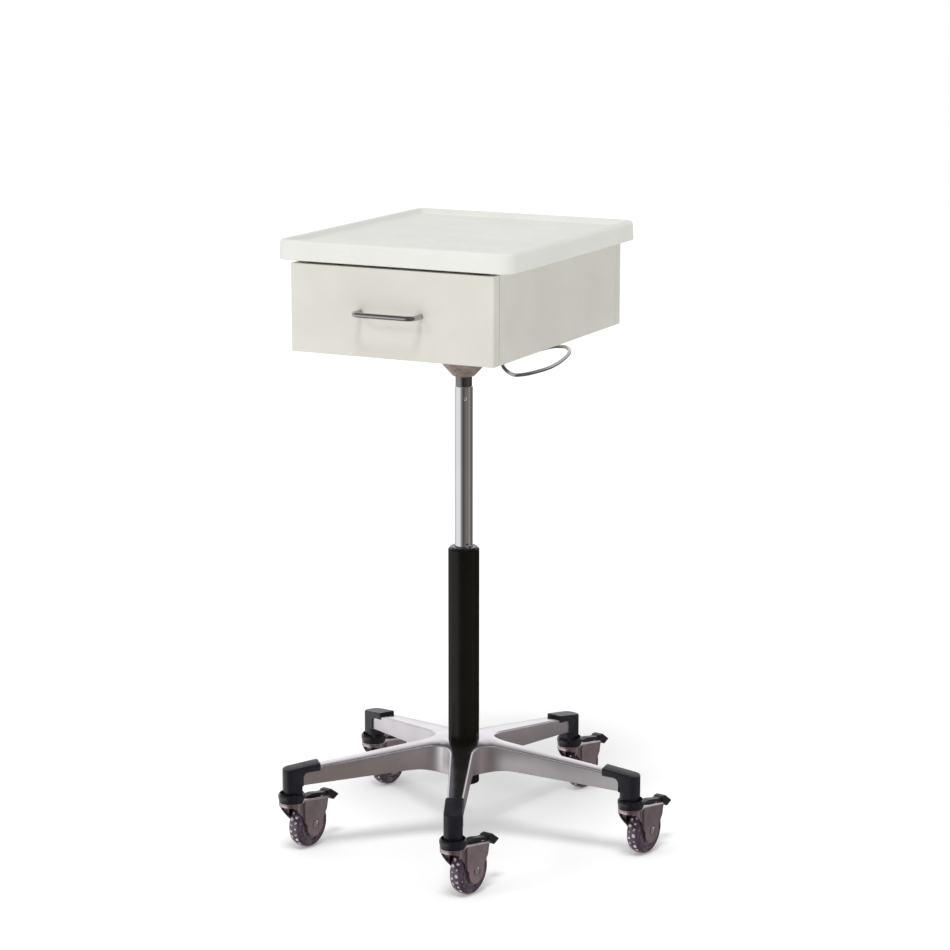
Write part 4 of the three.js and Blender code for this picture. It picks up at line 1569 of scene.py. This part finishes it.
@dataclass
class CastBase:
    """The polished five-legged casting, hollow underneath."""

    tip_radius: float = 294.5
    taper_end: float = 250.0
    root: float = 80.0
    hub_half: float = 19.5
    tip_half: float = 12.2
    web_pull: float = 30.0
    hub_top: float = 171.0
    top_slope: float = 0.127
    crest: Point = (90.0, 128.0)
    bottom_slope: float = 0.074
    hub_bottom: float = 121.0
    wall: float = 4.5
    edge: float = 3.6
    bore: float = 25.3
    stem_radius: float = 285.85
    stem_bore: float = 5.4
    pockets: tuple[Point, ...] = ((62.0, 119.0), (124.0, 188.0), (193.0, 262.0))

    def top(self, radius: float) -> float:
        """Height of the upper face at a radius."""
        return self.hub_top - self.top_slope * (max(radius, 36.0) - 35.0)

    def bottom(self, radius: float) -> float:
        """Height of the lower edge at a radius.

        Args:
            radius: distance from the column's axis.

        Returns:
            The height.
        """
        out, high = self.crest
        if radius > out:
            return high - self.bottom_slope * (radius - out)
        share = min(1.0, max(0.0, (radius - 46.0) / (out - 46.0)))
        return self.hub_bottom + (high - self.hub_bottom) * math.sin(share * math.pi / 2)

    def half_width(self, radius: float) -> float:
        """Half of a leg's width at a radius."""
        share = min(1.0, (radius - 40.0) / (self.taper_end - 40.0))
        return self.hub_half + (self.tip_half - self.hub_half) * share

    def outline(self) -> list[Vector]:
        """The star's plan, with round webs between the legs.

        Returns:
            The outline's points, anticlockwise.
        """
        def at(angle: float, along: float, side: float) -> Vector:
            """A point set out along a leg and to its side.

            Args:
                angle: the leg's direction.
                along: distance along the leg.
                side: distance to its left.

            Returns:
                The point in plan.
            """
            ahead = Vector((math.cos(angle), math.sin(angle)))
            left = Vector((-ahead.y, ahead.x))
            return ahead * along + left * side

        points: list[Vector] = []
        stations = [self.root + (self.taper_end - self.root) * k / 11 for k in range(12)]
        stations += [265.0, 280.0, self.tip_radius]
        for index, degrees in enumerate(LEG_ANGLES):
            angle = math.radians(degrees)
            points += [at(angle, r, -self.half_width(r)) for r in stations]
            points += [at(angle, r, self.half_width(r)) for r in reversed(stations)]
            turn = math.radians(LEG_ANGLES[(index + 1) % len(LEG_ANGLES)] + (360 if index == 4 else 0))
            start, end = points[-1], at(turn, self.root, -self.half_width(self.root))
            pull = at((angle + turn) / 2, self.web_pull, 0)
            for k in range(1, 18):
                t = k / 18
                points.append(start * (1 - t) ** 2 + pull * (2 * t * (1 - t)) + end * t ** 2)
        return points

    @staticmethod
    def inset(points: Sequence[Vector], distance: float) -> list[Vector]:
        """Moves an outline inwards.

        Args:
            points: the outline, anticlockwise.
            distance: how far.

        Returns:
            The moved outline.
        """
        moved = []
        for index, here in enumerate(points):
            before = (here - points[index - 1]).normalized()
            after = (points[(index + 1) % len(points)] - here).normalized()
            first, second = Vector((-before.y, before.x)), Vector((-after.y, after.x))
            moved.append(here + (first + second) * distance / (1 + first.dot(second)))
        return moved

    def inner_points(self) -> list[Vector]:
        """Points inside the plan that keep its faces even.

        Returns:
            Rings round the bore, and a row along each leg.
        """
        points = []
        for ring, count in ((30.0, 16), (38.0, 20), (47.0, 20)):
            turns = [math.tau * k / count for k in range(count)]
            points += [Vector((ring * math.cos(turn), ring * math.sin(turn))) for turn in turns]
        for degrees in LEG_ANGLES:
            angle = math.radians(degrees)
            points += [Vector((math.cos(angle), math.sin(angle))) * r for r in range(58, 286, 14)]
        return points

    def casting(self) -> Piece:
        """The star with its rounded upper edge, before it is hollowed.

        Returns:
            The casting.
        """
        plan = self.outline()
        points: list[Point3] = []
        faces: list[Sequence[int]] = []
        rows: list[list[int]] = []
        foot = 1.6
        quarter = [(self.edge * (1 - math.sin(t)), self.edge * (1 - math.cos(t)))
                   for t in (math.pi / 2 * k / 6 for k in range(7))]
        levels = [(inset, drop, True) for inset, drop in quarter]
        levels += [(0.0, foot, False), (foot * 0.3, foot * 0.3, False), (foot, 0.0, False)]
        for inset, step, upper in levels:
            first = len(points)
            for p in self.inset(plan, inset):
                height = self.top(p.length) - step if upper else self.bottom(p.length) + step
                points.append((p.x, p.y, height))
            rows.append(list(range(first, len(points))))
        for upper_row, lower_row in zip(rows, rows[1:]):
            for k in range(len(plan)):
                n = (k + 1) % len(plan)
                faces.append((upper_row[k], upper_row[n], lower_row[n], lower_row[k]))
        for row, height in ((rows[0], self.top), (rows[-1], self.bottom)):
            rim = [Vector(points[i][:2]) for i in row]
            extra = self.inner_points()
            links = [(k, (k + 1) % len(rim)) for k in range(len(rim))]
            found, _, triangles, sources, *_ = delaunay_2d_cdt(rim + extra, links, [], 1, 1e-4)
            index_of: dict[int, int] = {}
            for triangle in triangles:
                for corner in triangle:
                    if corner in index_of:
                        continue
                    on_rim = [s for s in sources[corner] if s < len(rim)]
                    if on_rim:
                        index_of[corner] = row[on_rim[0]]
                    else:
                        index_of[corner] = len(points)
                        p = found[corner]
                        points.append((p.x, p.y, height(p.length)))
                faces.append([index_of[c] for c in triangle])
        return solid_from("cast_star_base", points, faces)

    def pocket_cutters(self) -> Piece:
        """What is hollow: the pockets under the legs, the column's bore and the stem bores.

        Returns:
            The cutters, as one piece.
        """
        parts = [lathe("bore", [(0, 90), (self.bore, 90), (self.bore, 190), (0, 190)], 64)]
        for degrees in LEG_ANGLES:
            turn = Matrix.Rotation(math.radians(degrees), 4, "Z")
            for start, end in self.pockets:
                a, b = self.half_width(start) - self.wall, self.half_width(end) - self.wall
                outline = soft_outline([(start, -a, 5), (end, -b, 5), (end, b, 5), (start, a, 5)], 4)
                roof = [(x, y, self.top(x) - self.wall) for x, y in outline]
                part = stack("pocket", [[(x, y, 90.0) for x, y in outline], roof])
                part.data.transform(turn)
                parts.append(part)
            section = [(0, 90), (self.stem_bore, 90), (self.stem_bore, 132), (0, 132)]
            stem = lathe("stem_bore", section, 24)
            stem.data.transform(turn @ Matrix.Translation(Vector((self.stem_radius, 0, 0)) * MM))
            parts.append(stem)
        return gather("cutters", parts)

    def build(self, frame: Frame) -> None:
        """Builds and fits the casting.

        Args:
            frame: where the pieces stand.
        """
        base = self.casting()
        combine(base, self.pocket_cutters(), Combine.CUT)
        shade(base, 42)
        fit(base, "base", CAST_ALUMINIUM, frame.place(), ["base_spider"])


@dataclass
class LegCap:
    """The moulded cap over a leg's end."""

    inner: float = 240.0
    outer: float = 299.5
    body_inner: float = 268.5
    bottom: float = 98.5
    half_width: float = 14.65
    inner_flange: float = 5.6
    outer_flange: float = 3.6
    inner_corner: float = 4.0
    outer_corner: float = 11.0
    edge: float = 2.0

    def crown(self, base: CastBase, radius: float) -> float:
        """Height of the cap's top at a radius."""
        share = (radius - self.inner) / (self.outer - self.inner)
        return base.top(radius) + self.inner_flange + (self.outer_flange - self.inner_flange) * share

    def plan(self, start: float, inset: float = 0.0) -> list[Point]:
        """The cap's plan.

        Args:
            start: where it begins along the leg.
            inset: how far it is moved inwards.

        Returns:
            The outline.
        """
        inner, outer, half = start + inset, self.outer - inset, self.half_width - inset
        near = (self.inner_corner if start == self.inner else self.outer_corner) - inset
        far = self.outer_corner - inset
        corners = [(inner, -half, near), (outer, -half, far), (outer, half, far), (inner, half, near)]
        return soft_outline(corners, 6)

    def shell(self, base: CastBase) -> Piece:
        """The cap's outside, before it is cut to fit over the leg.

        Args:
            base: the casting that it stands on.

        Returns:
            The solid.
        """
        loops = [[(x, y, self.bottom + rise) for x, y in self.plan(self.inner, inset)]
                 for inset, rise in ((0.8, 0.0), (0.25, 0.25), (0.0, 0.8))]
        quarter = arc((self.edge, -self.edge), self.edge, 180, 90, 6)
        loops += [[(x, y, self.crown(base, x) + drop) for x, y in self.plan(self.inner, inset)]
                  for inset, drop in quarter]
        return stack("leg_end_cap", loops)

    def build(self, frame: Frame, base: CastBase, number: int) -> None:
        """Builds and fits one leg's cap.

        Args:
            frame: where the pieces stand.
            base: the casting that it stands on.
            number: which leg.
        """
        cap = self.shell(base)
        cap.name = cap.data.name = f"leg_end_cap_{number}"
        near, body = self.inner - 5, self.body_inner
        under = soft_outline([
            (near, 80, 0), (body, 80, 0), (body, self.crown(base, body) - 9.5, 9.0),
            (near, self.crown(base, near) - 12, 0)], 6)
        combine(cap, slab("under", under, 30, Run.X), Combine.CUT)
        below = prism("below", rounded_rectangle(near, self.outer + 5, -20, 20, 1, 1), 80,
                      base.bottom(body) - 0.3)
        combine(below, prism("boss", self.plan(body), 70, 150), Combine.CUT)
        combine(cap, below, Combine.CUT)
        start, end = self.inner - 20, base.tip_radius + 0.3
        pocket = slab("pocket", [
            (start, base.bottom(start) - 0.3), (end, base.bottom(end) - 0.3),
            (end, base.top(end) + 0.3), (start, base.top(start) + 0.3)], base.tip_half + 0.5, Run.X)
        combine(cap, pocket, Combine.CUT)
        bore = lathe("bore", [(0, 80), (5.4, 80), (5.4, 120), (0, 120)], 24)
        bore.data.transform(Matrix.Translation(Vector((base.stem_radius, 0, 0)) * MM))
        combine(cap, bore, Combine.CUT)
        shade(cap, 42)
        fit(cap, "base", BLACK_PLASTIC, frame.place(LEG_ANGLES[number - 1]), [f"leg_cap_{number}"])


# ---------------------------------------------------------------- casters


@dataclass
class Caster:
    """A braked swivel caster, at its stem's axis and trailing towards +Y."""

    turned: float = -9.0
    trail: float = 40.5
    wheel_radius: float = 38.6
    tread_half: float = 11.5
    collar_radius: float = 21.5
    fork_half: float = 16.1
    sheet: float = 2.3
    roll: float = 3.2
    fork_top: float = 87.0
    fork_rear: Point = (75.0, 77.0)
    boss: float = 20.0
    axle: float = 4.0
    slot_half: float = 7.5
    stem: float = 5.0
    stem_top: float = 131.0
    studs_round: int = 24

    def build(self, frame: Frame, number: int) -> None:
        """Builds and fits one caster.

        Args:
            frame: where the pieces stand.
            number: which caster.
        """
        place = frame.caster(number, self.turned)
        swivel, wheel, pedal = f"swivel_{number}", f"wheel_{number}", f"pedal_{number}"
        fit(self.collar(number), swivel, GLOSS_PLASTIC, place, [f"swivel_head_{number}"])
        fit(self.race(number), swivel, FORK_STEEL_PAINTED_REFLECTION, place)
        fit(self.fork(number), swivel, FORK_STEEL_PAINTED_REFLECTION, place, [f"fork_{number}"])
        fit(self.rivet(number), swivel, RIVET_STEEL, place, [f"axle_rivet_{number}"])
        fit(self.core(number), wheel, RIM_GREY, place, [f"wheel_core_{number}"])
        fit(self.tyre(number), wheel, SMOKY_TYRE, place, [f"tyre_{number}"])
        fit(self.tread_studs(number), wheel, PALE_STUD, place)
        fit(self.pedal(number), pedal, BLACK_PLASTIC, place, [f"brake_pedal_{number}"])

    def onto_axle(self, piece: Piece) -> Piece:
        """Turns a solid of revolution about Z into one about the axle.

        Args:
            piece: the solid, made about Z at the origin.

        Returns:
            The same solid, at the axle.
        """
        seat = Matrix.Translation(Vector((0, self.trail, self.wheel_radius)) * MM)
        piece.data.transform(seat @ Matrix.Rotation(math.pi / 2, 4, "Y"))
        return piece

    def collar(self, number: int) -> Piece:
        """The dust collar and stem.

        Args:
            number: which caster.

        Returns:
            The collar.
        """
        seat, r = self.fork_top + 0.3, self.collar_radius
        profile = soft_outline([
            (0, seat, 0), (r - 2.2, seat, 1.0), (r - 0.6, seat + 2.6, 1.4), (r - 1.4, seat + 4.6, 0.8),
            (r, seat + 6.0, 1.6), (r, seat + 11.4, 2.6), (r - 2.4, seat + 14, 1.0),
            (18.6, seat + 14, 0.3), (18.2, seat + 9.5, 0.6), (self.stem, seat + 9.5, 0.4),
            (self.stem, self.stem_top, 0.6), (0, self.stem_top, 0),
        ], 5)
        collar = lathe(f"dust_collar_{number}", profile, 56)
        shade(collar, 40)
        return collar

    def race(self, number: int) -> Piece:
        """The bright rolled edge between the collar and the fork.

        Args:
            number: which caster.

        Returns:
            The ring.
        """
        ring = lathe(f"bearing_race_{number}", arc((19.6, self.fork_top - 0.9), 1.25, 0, 345, 12), 56)
        shade(ring, 60)
        return ring

    def fork(self, number: int) -> Piece:
        """The pressed fork: a round front under the collar, and two cheeks down to the axle.

        Args:
            number: which caster.

        Returns:
            The fork.
        """
        top, half, sheet = self.fork_top, self.fork_half, self.sheet
        rear, rear_height = self.fork_rear
        side = [(-22, top + 1), (-22, top - 6.5), (-14, top - 7), (-7, top - 11), (13, 50)]
        side += arc((self.trail, self.wheel_radius), self.boss, 173, 374, 30)
        tail = [(62, 46, 0), (rear - 4, 58, 6), (rear, rear_height, 2.5), (16, top + 1, 0)]
        side += soft_outline(tail, 5)[1:]
        outline = [(half, 94.0), (-half, 94.0), (-half, 55.0), (-half, 16.0)]
        outline += arc((0, 0), 20.5, 142, 398, 40) + [(half, 16.0), (half, 55.0)]
        plan = [Vector(point) for point in outline]
        slope = (rear_height - top) / (rear - 16)
        roll = arc((self.roll, -self.roll), self.roll, 180, 90, 6)
        loops = [[(p.x, p.y, 8.0) for p in plan]]
        loops += [[(p.x, p.y, top + slope * max(0.0, p.y - 16) + drop)
                   for p in CastBase.inset(plan, inset)] for inset, drop in roll]
        fork = stack(f"pressed_fork_{number}", loops)
        combine(fork, slab("side", side, 25, Run.Y), Combine.COMMON)
        inner_half, inner_round = half - sheet, 20.5 - sheet
        edge = math.degrees(math.acos(inner_half / inner_round))
        inside = [(inner_half, 92.0), (-inner_half, 92.0)]
        inside += arc((0, 0), inner_round, 180 - edge, 360 + edge, 40)
        hollow = prism("hollow", inside, 0, 120)
        roof = [(-30, 0), (94, 0), (94, rear_height - sheet - 3.6)]
        roof += [(16, top - sheet), (-30, top - sheet)]
        combine(hollow, slab("roof", roof, 28, Run.Y), Combine.COMMON)
        combine(fork, hollow, Combine.CUT)
        slot = cushioned_block("slot", (-self.slot_half, 23, 60), (self.slot_half, 96, 100), 2.0, 0.5, 4)
        combine(fork, slot, Combine.CUT)
        hole = self.onto_axle(lathe("hole", [(0, -30), (4.3, -30), (4.3, 30), (0, 30)], 24))
        combine(fork, hole, Combine.CUT)
        soften(fork, 0.4, 2, 40)
        shade(fork, 38, weighted=True)
        return fork

    def rivet(self, number: int) -> Piece:
        """The axle, riveted over outside both cheeks.

        Args:
            number: which caster.

        Returns:
            The rivet.
        """
        out = self.fork_half + 0.3
        head = [(0, 2.6), (2.2, 2.5), (3.0, 1.9), (4.0, 1.9), (5.6, 1.3), (6.5, 0.3), (6.5, 0.0)]
        profile = [(r, -out - h) for r, h in head] + [(self.axle, -out), (self.axle, out)]
        profile += [(r, out + h) for r, h in reversed(head)]
        rivet = self.onto_axle(lathe(f"axle_rivet_head_{number}", profile, 32))
        shade(rivet, 35)
        return rivet

    def core(self, number: int) -> Piece:
        """The wheel's dished core and hub.

        Args:
            number: which caster.

        Returns:
            The core.
        """
        half = [(4.4, 13.2, 0.2), (9.4, 13.2, 0.8), (11.0, 10.8, 1.5), (19.5, 8.4, 2.5),
                (23.4, 10.4, 1.2), (25.5, 9.6, 0.6)]
        corners = [(out, -across, soft) for out, across, soft in half] + half[::-1]
        core = self.onto_axle(lathe(f"dished_wheel_core_{number}", soft_outline(corners, 4), 56))
        shade(core, 40)
        return core

    def tyre(self, number: int) -> Piece:
        """The tyre, round in section at its shoulders.

        Args:
            number: which caster.

        Returns:
            The tyre.
        """
        r, half = self.wheel_radius, self.tread_half
        side = [(25.8, half - 1.4, 0.5), (30.5, half, 2.0), (r - 1.8, half - 1.4, 5.0), (r, 2.0, 20.0)]
        corners = [(out, -across, soft) for out, across, soft in side] + side[::-1]
        tyre = self.onto_axle(lathe(f"smoky_tyre_{number}", soft_outline(corners, 8), 96))
        shade(tyre, 45)
        return tyre

    def tread_studs(self, number: int) -> Piece:
        """The pale studs set in the tread and the tyre's shoulders.

        Args:
            number: which caster.

        Returns:
            The studs, as one piece.
        """
        draw = random.Random(40 + number)
        rows = ((4.2, 38.25, 4.0, 2.9), (-4.2, 38.25, -4.0, 2.9),
                (9.9, 34.4, 58.0, 2.1), (-9.9, 34.4, -58.0, 2.1))
        parts = []
        for row, (across, radius, lean, size) in enumerate(rows):
            for k in range(self.studs_round):
                turn = math.tau * (k + 0.5 * (row % 2)) / self.studs_round
                tilt = math.radians(lean)
                level = math.cos(tilt)
                out = (math.cos(turn) * level, math.sin(turn) * level, math.sin(tilt))
                seat = (radius * math.cos(turn), radius * math.sin(turn), across)
                parts.append(stud("stud", seat, out, size * draw.uniform(0.6, 1.12), 0.3, 10))
        return self.onto_axle(gather(f"tread_studs_{number}", parts))

    def pedal(self, number: int) -> Piece:
        """The brake pedal, an arm with a wider pad at its end.

        Args:
            number: which caster.

        Returns:
            The pedal.
        """
        side = soft_outline([
            (24, 80, 1.5), (24, 87.2, 1.5), (50, 87.6, 30), (76, 81.6, 16), (84, 83, 6), (93, 83, 1.5),
            (112, 69.5, 1.2), (98, 63.5, 2.0), (86, 73.5, 8), (70, 77.5, 10), (42, 80, 20),
        ], 5)
        arm = slab(f"foot_pedal_{number}", side, 6.5, Run.Y)
        pad = slab("pad", side, 8.5, Run.Y)
        keep = prism("keep", [(-20, 83), (20, 83), (20, 130), (-20, 130)], 50, 100)
        combine(pad, keep, Combine.COMMON)
        combine(arm, pad, Combine.JOIN)
        soften(arm, 0.9, 3, 34)
        shade(arm, 40, weighted=True)
        return arm


# ---------------------------------------------------------------- studio


@dataclass
class Studio:
    """The pale floor, the soft lights, the surroundings and the camera."""

    camera_offset: Point3 = (1.8808, -3.7593, 1.5200)
    aim_height: float = 0.61067
    azimuth: float = math.radians(26.6)
    lens: float = 102.41
    shift: Point = (0.0118, -0.0026)
    fill: float = 0.58
    floor_glow: float = 0.2

    def build(self, frame: Frame) -> None:
        """Builds the studio round the cart.

        Args:
            frame: where the cart stands.
        """
        self.camera(frame)
        self.floor()
        self.lights()
        self.surroundings()
        bpy.context.scene.view_settings.view_transform = "Standard"

    def camera(self, frame: Frame) -> None:
        """Stands the camera where the cart is seen from its front right corner.

        Args:
            frame: where the cart stands.
        """
        camera = bpy.data.objects.new("camera", bpy.data.cameras.new("camera"))
        bpy.context.scene.collection.objects.link(camera)
        camera.location = frame.axis + Vector(self.camera_offset)
        aim = frame.axis + Vector((0, 0, self.aim_height))
        camera.rotation_euler = (aim - camera.location).to_track_quat("-Z", "Y").to_euler()
        camera.data.lens = self.lens
        camera.data.shift_x, camera.data.shift_y = self.shift
        bpy.context.scene.camera = camera

    def floor(self) -> None:
        """Lays a wide pale floor that gives no reflection of its own to bright metal."""
        reach = 9000.0
        outline = rounded_rectangle(-reach, reach, -reach, reach, reach * 0.5, 12)
        floor = prism("studio_floor", outline, -20.0, -0.05)
        material = bpy.data.materials.new("pale_floor")
        material.use_nodes = True
        shader = material.node_tree.nodes["Principled BSDF"]
        shader.inputs["Base Color"].default_value = (0.93, 0.93, 0.93, 1.0)
        shader.inputs["Roughness"].default_value = 0.9
        shader.inputs["Specular IOR Level"].default_value = 0.0
        shader.inputs["Emission Color"].default_value = (1.0, 1.0, 1.0, 1.0)
        shader.inputs["Emission Strength"].default_value = self.floor_glow
        floor.data.materials.append(material)
        floor.visible_glossy = False

    def lights(self) -> None:
        """Sets the broad soft light overhead and the weaker one from the left front."""
        for name, azimuth, elevation, spread_angle, strength in (
            ("overhead", 15.0, 66.0, 17.0, 1.22),
            ("left_front", -34.0, 32.0, 9.0, 0.3),
        ):
            light = bpy.data.lights.new(name, "SUN")
            light.energy, light.angle = strength, math.radians(spread_angle)
            lamp = bpy.data.objects.new(name, light)
            bpy.context.scene.collection.objects.link(lamp)
            turn, rise = math.radians(azimuth), math.radians(elevation)
            level = math.cos(rise)
            way = Vector((math.sin(turn) * level, -math.cos(turn) * level, math.sin(rise)))
            lamp.location = way * 4.0
            lamp.rotation_euler = (-way).to_track_quat("-Z", "Y").to_euler()
            lamp.visible_glossy = False

    def surroundings(self) -> None:
        """Makes the world: plain white behind the cart, an even fill, and a studio for gloss to show."""
        world = bpy.data.worlds.new("studio")
        bpy.context.scene.world = world
        world.use_nodes = True
        tree = world.node_tree
        tree.nodes.clear()
        way = add_node(tree, "ShaderNodeTexCoord", {}).outputs["Generated"]
        parts = add_node(tree, "ShaderNodeSeparateXYZ", {0: way})
        forward = math_node(tree, "MULTIPLY", parts.outputs["Y"], -1.0)
        east = math_node(tree, "ARCTAN2", parts.outputs["X"], forward)
        share = spread(tree, east, 0.0, 1.0, -math.pi, math.pi)
        walls = add_node(tree, "ShaderNodeValToRGB", {"Fac": share})
        stops = (
            (0.0, (0.16, 0.15, 0.15)), (0.074, (0.2, 0.19, 0.19)), (0.12, (0.6, 0.6, 0.62)),
            (0.221, (0.7, 0.7, 0.71)), (0.285, (0.98, 0.98, 0.98)), (0.416, (0.95, 0.95, 0.96)),
            (0.456, (0.72, 0.72, 0.71)), (0.487, (0.27, 0.27, 0.27)), (0.524, (0.18, 0.18, 0.175)),
            (0.557, (0.08, 0.08, 0.078)), (0.624, (0.17, 0.15, 0.14)), (0.659, (0.24, 0.19, 0.17)),
            (0.732, (0.2, 0.18, 0.17)), (0.771, (0.34, 0.33, 0.34)), (0.813, (0.28, 0.27, 0.28)),
            (0.84, (0.1, 0.09, 0.08)), (0.876, (0.3, 0.28, 0.28)), (0.915, (0.06, 0.05, 0.05)),
            (1.0, (0.16, 0.15, 0.15)),
        )
        ramp = walls.color_ramp.elements
        for position, colour in stops[1:-1]:
            ramp.new(position).color = (*colour, 1.0)
        ramp[0].color = (*stops[0][1], 1.0)
        ramp[len(ramp) - 1].color = (*stops[-1][1], 1.0)
        ahead = (math.sin(self.azimuth), -math.cos(self.azimuth), 0.0)
        toward = add_node(tree, "ShaderNodeVectorMath", {0: way, 1: ahead}, operation="DOT_PRODUCT")
        behind = spread(tree, toward.outputs["Value"], 1.0, 0.0, -0.6, -0.1)
        height = parts.outputs["Z"]
        backdrop = math_node(tree, "MULTIPLY", spread(tree, height, 0.0, 1.0, -0.1, 0.06),
                             spread(tree, height, 1.0, 0.0, 0.34, 0.5))
        overhead = math_node(tree, "MULTIPLY", spread(tree, height, 0.0, 0.5, 0.48, 0.54),
                             spread(tree, height, 1.0, 0.0, 0.62, 0.7))
        above = mix_values(tree, behind, overhead, backdrop)
        dim = mix_colours(tree, spread(tree, height, 0.0, 1.0, 0.06, 0.3), walls.outputs["Color"],
                          (0.1, 0.1, 0.11, 1.0))
        sky = mix_colours(tree, above, dim, (0.98, 0.98, 1.0, 1.0))
        below = spread(tree, parts.outputs["Z"], 1.0, 0.0, -0.9, -0.45)
        glossy = mix_colours(tree, below, sky, (0.17, 0.15, 0.14, 1.0))
        path = add_node(tree, "ShaderNodeLightPath", {})
        fill = (self.fill, self.fill, self.fill, 1.0)
        seen = mix_colours(tree, path.outputs["Is Glossy Ray"], fill, glossy)
        seen = mix_colours(tree, path.outputs["Is Camera Ray"], seen, (1.0, 1.0, 1.0, 1.0))
        ground = add_node(tree, "ShaderNodeBackground", {"Color": seen, "Strength": 1.0})
        out = add_node(tree, "ShaderNodeOutputWorld", {})
        tree.links.new(ground.outputs[0], out.inputs["Surface"])


# ---------------------------------------------------------------- the cart


def main() -> None:
    """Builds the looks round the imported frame."""
    logging.basicConfig(level=logging.INFO, format="%(message)s")
    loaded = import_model()
    frame = Frame.read()
    Worktop().build(frame)
    Cabinet().build(frame)
    Drawer().build(frame)
    Slides().build(frame)
    LiftColumn().build(frame)
    UnderCabinet().build(frame)
    ReleaseLever().build(frame)
    base = CastBase()
    base.build(frame)
    for number in range(1, len(LEG_ANGLES) + 1):
        LegCap().build(frame, base, number)
        Caster().build(frame, number)
    for node in ("thrust_bearing", "rod_clip", "release_button"):
        repaint(loaded["nodes"], node, ZINC)
    repaint(loaded["nodes"], "piston_rod", CHROME)
    Studio().build(frame)


if __name__ == "__main__":
    main()
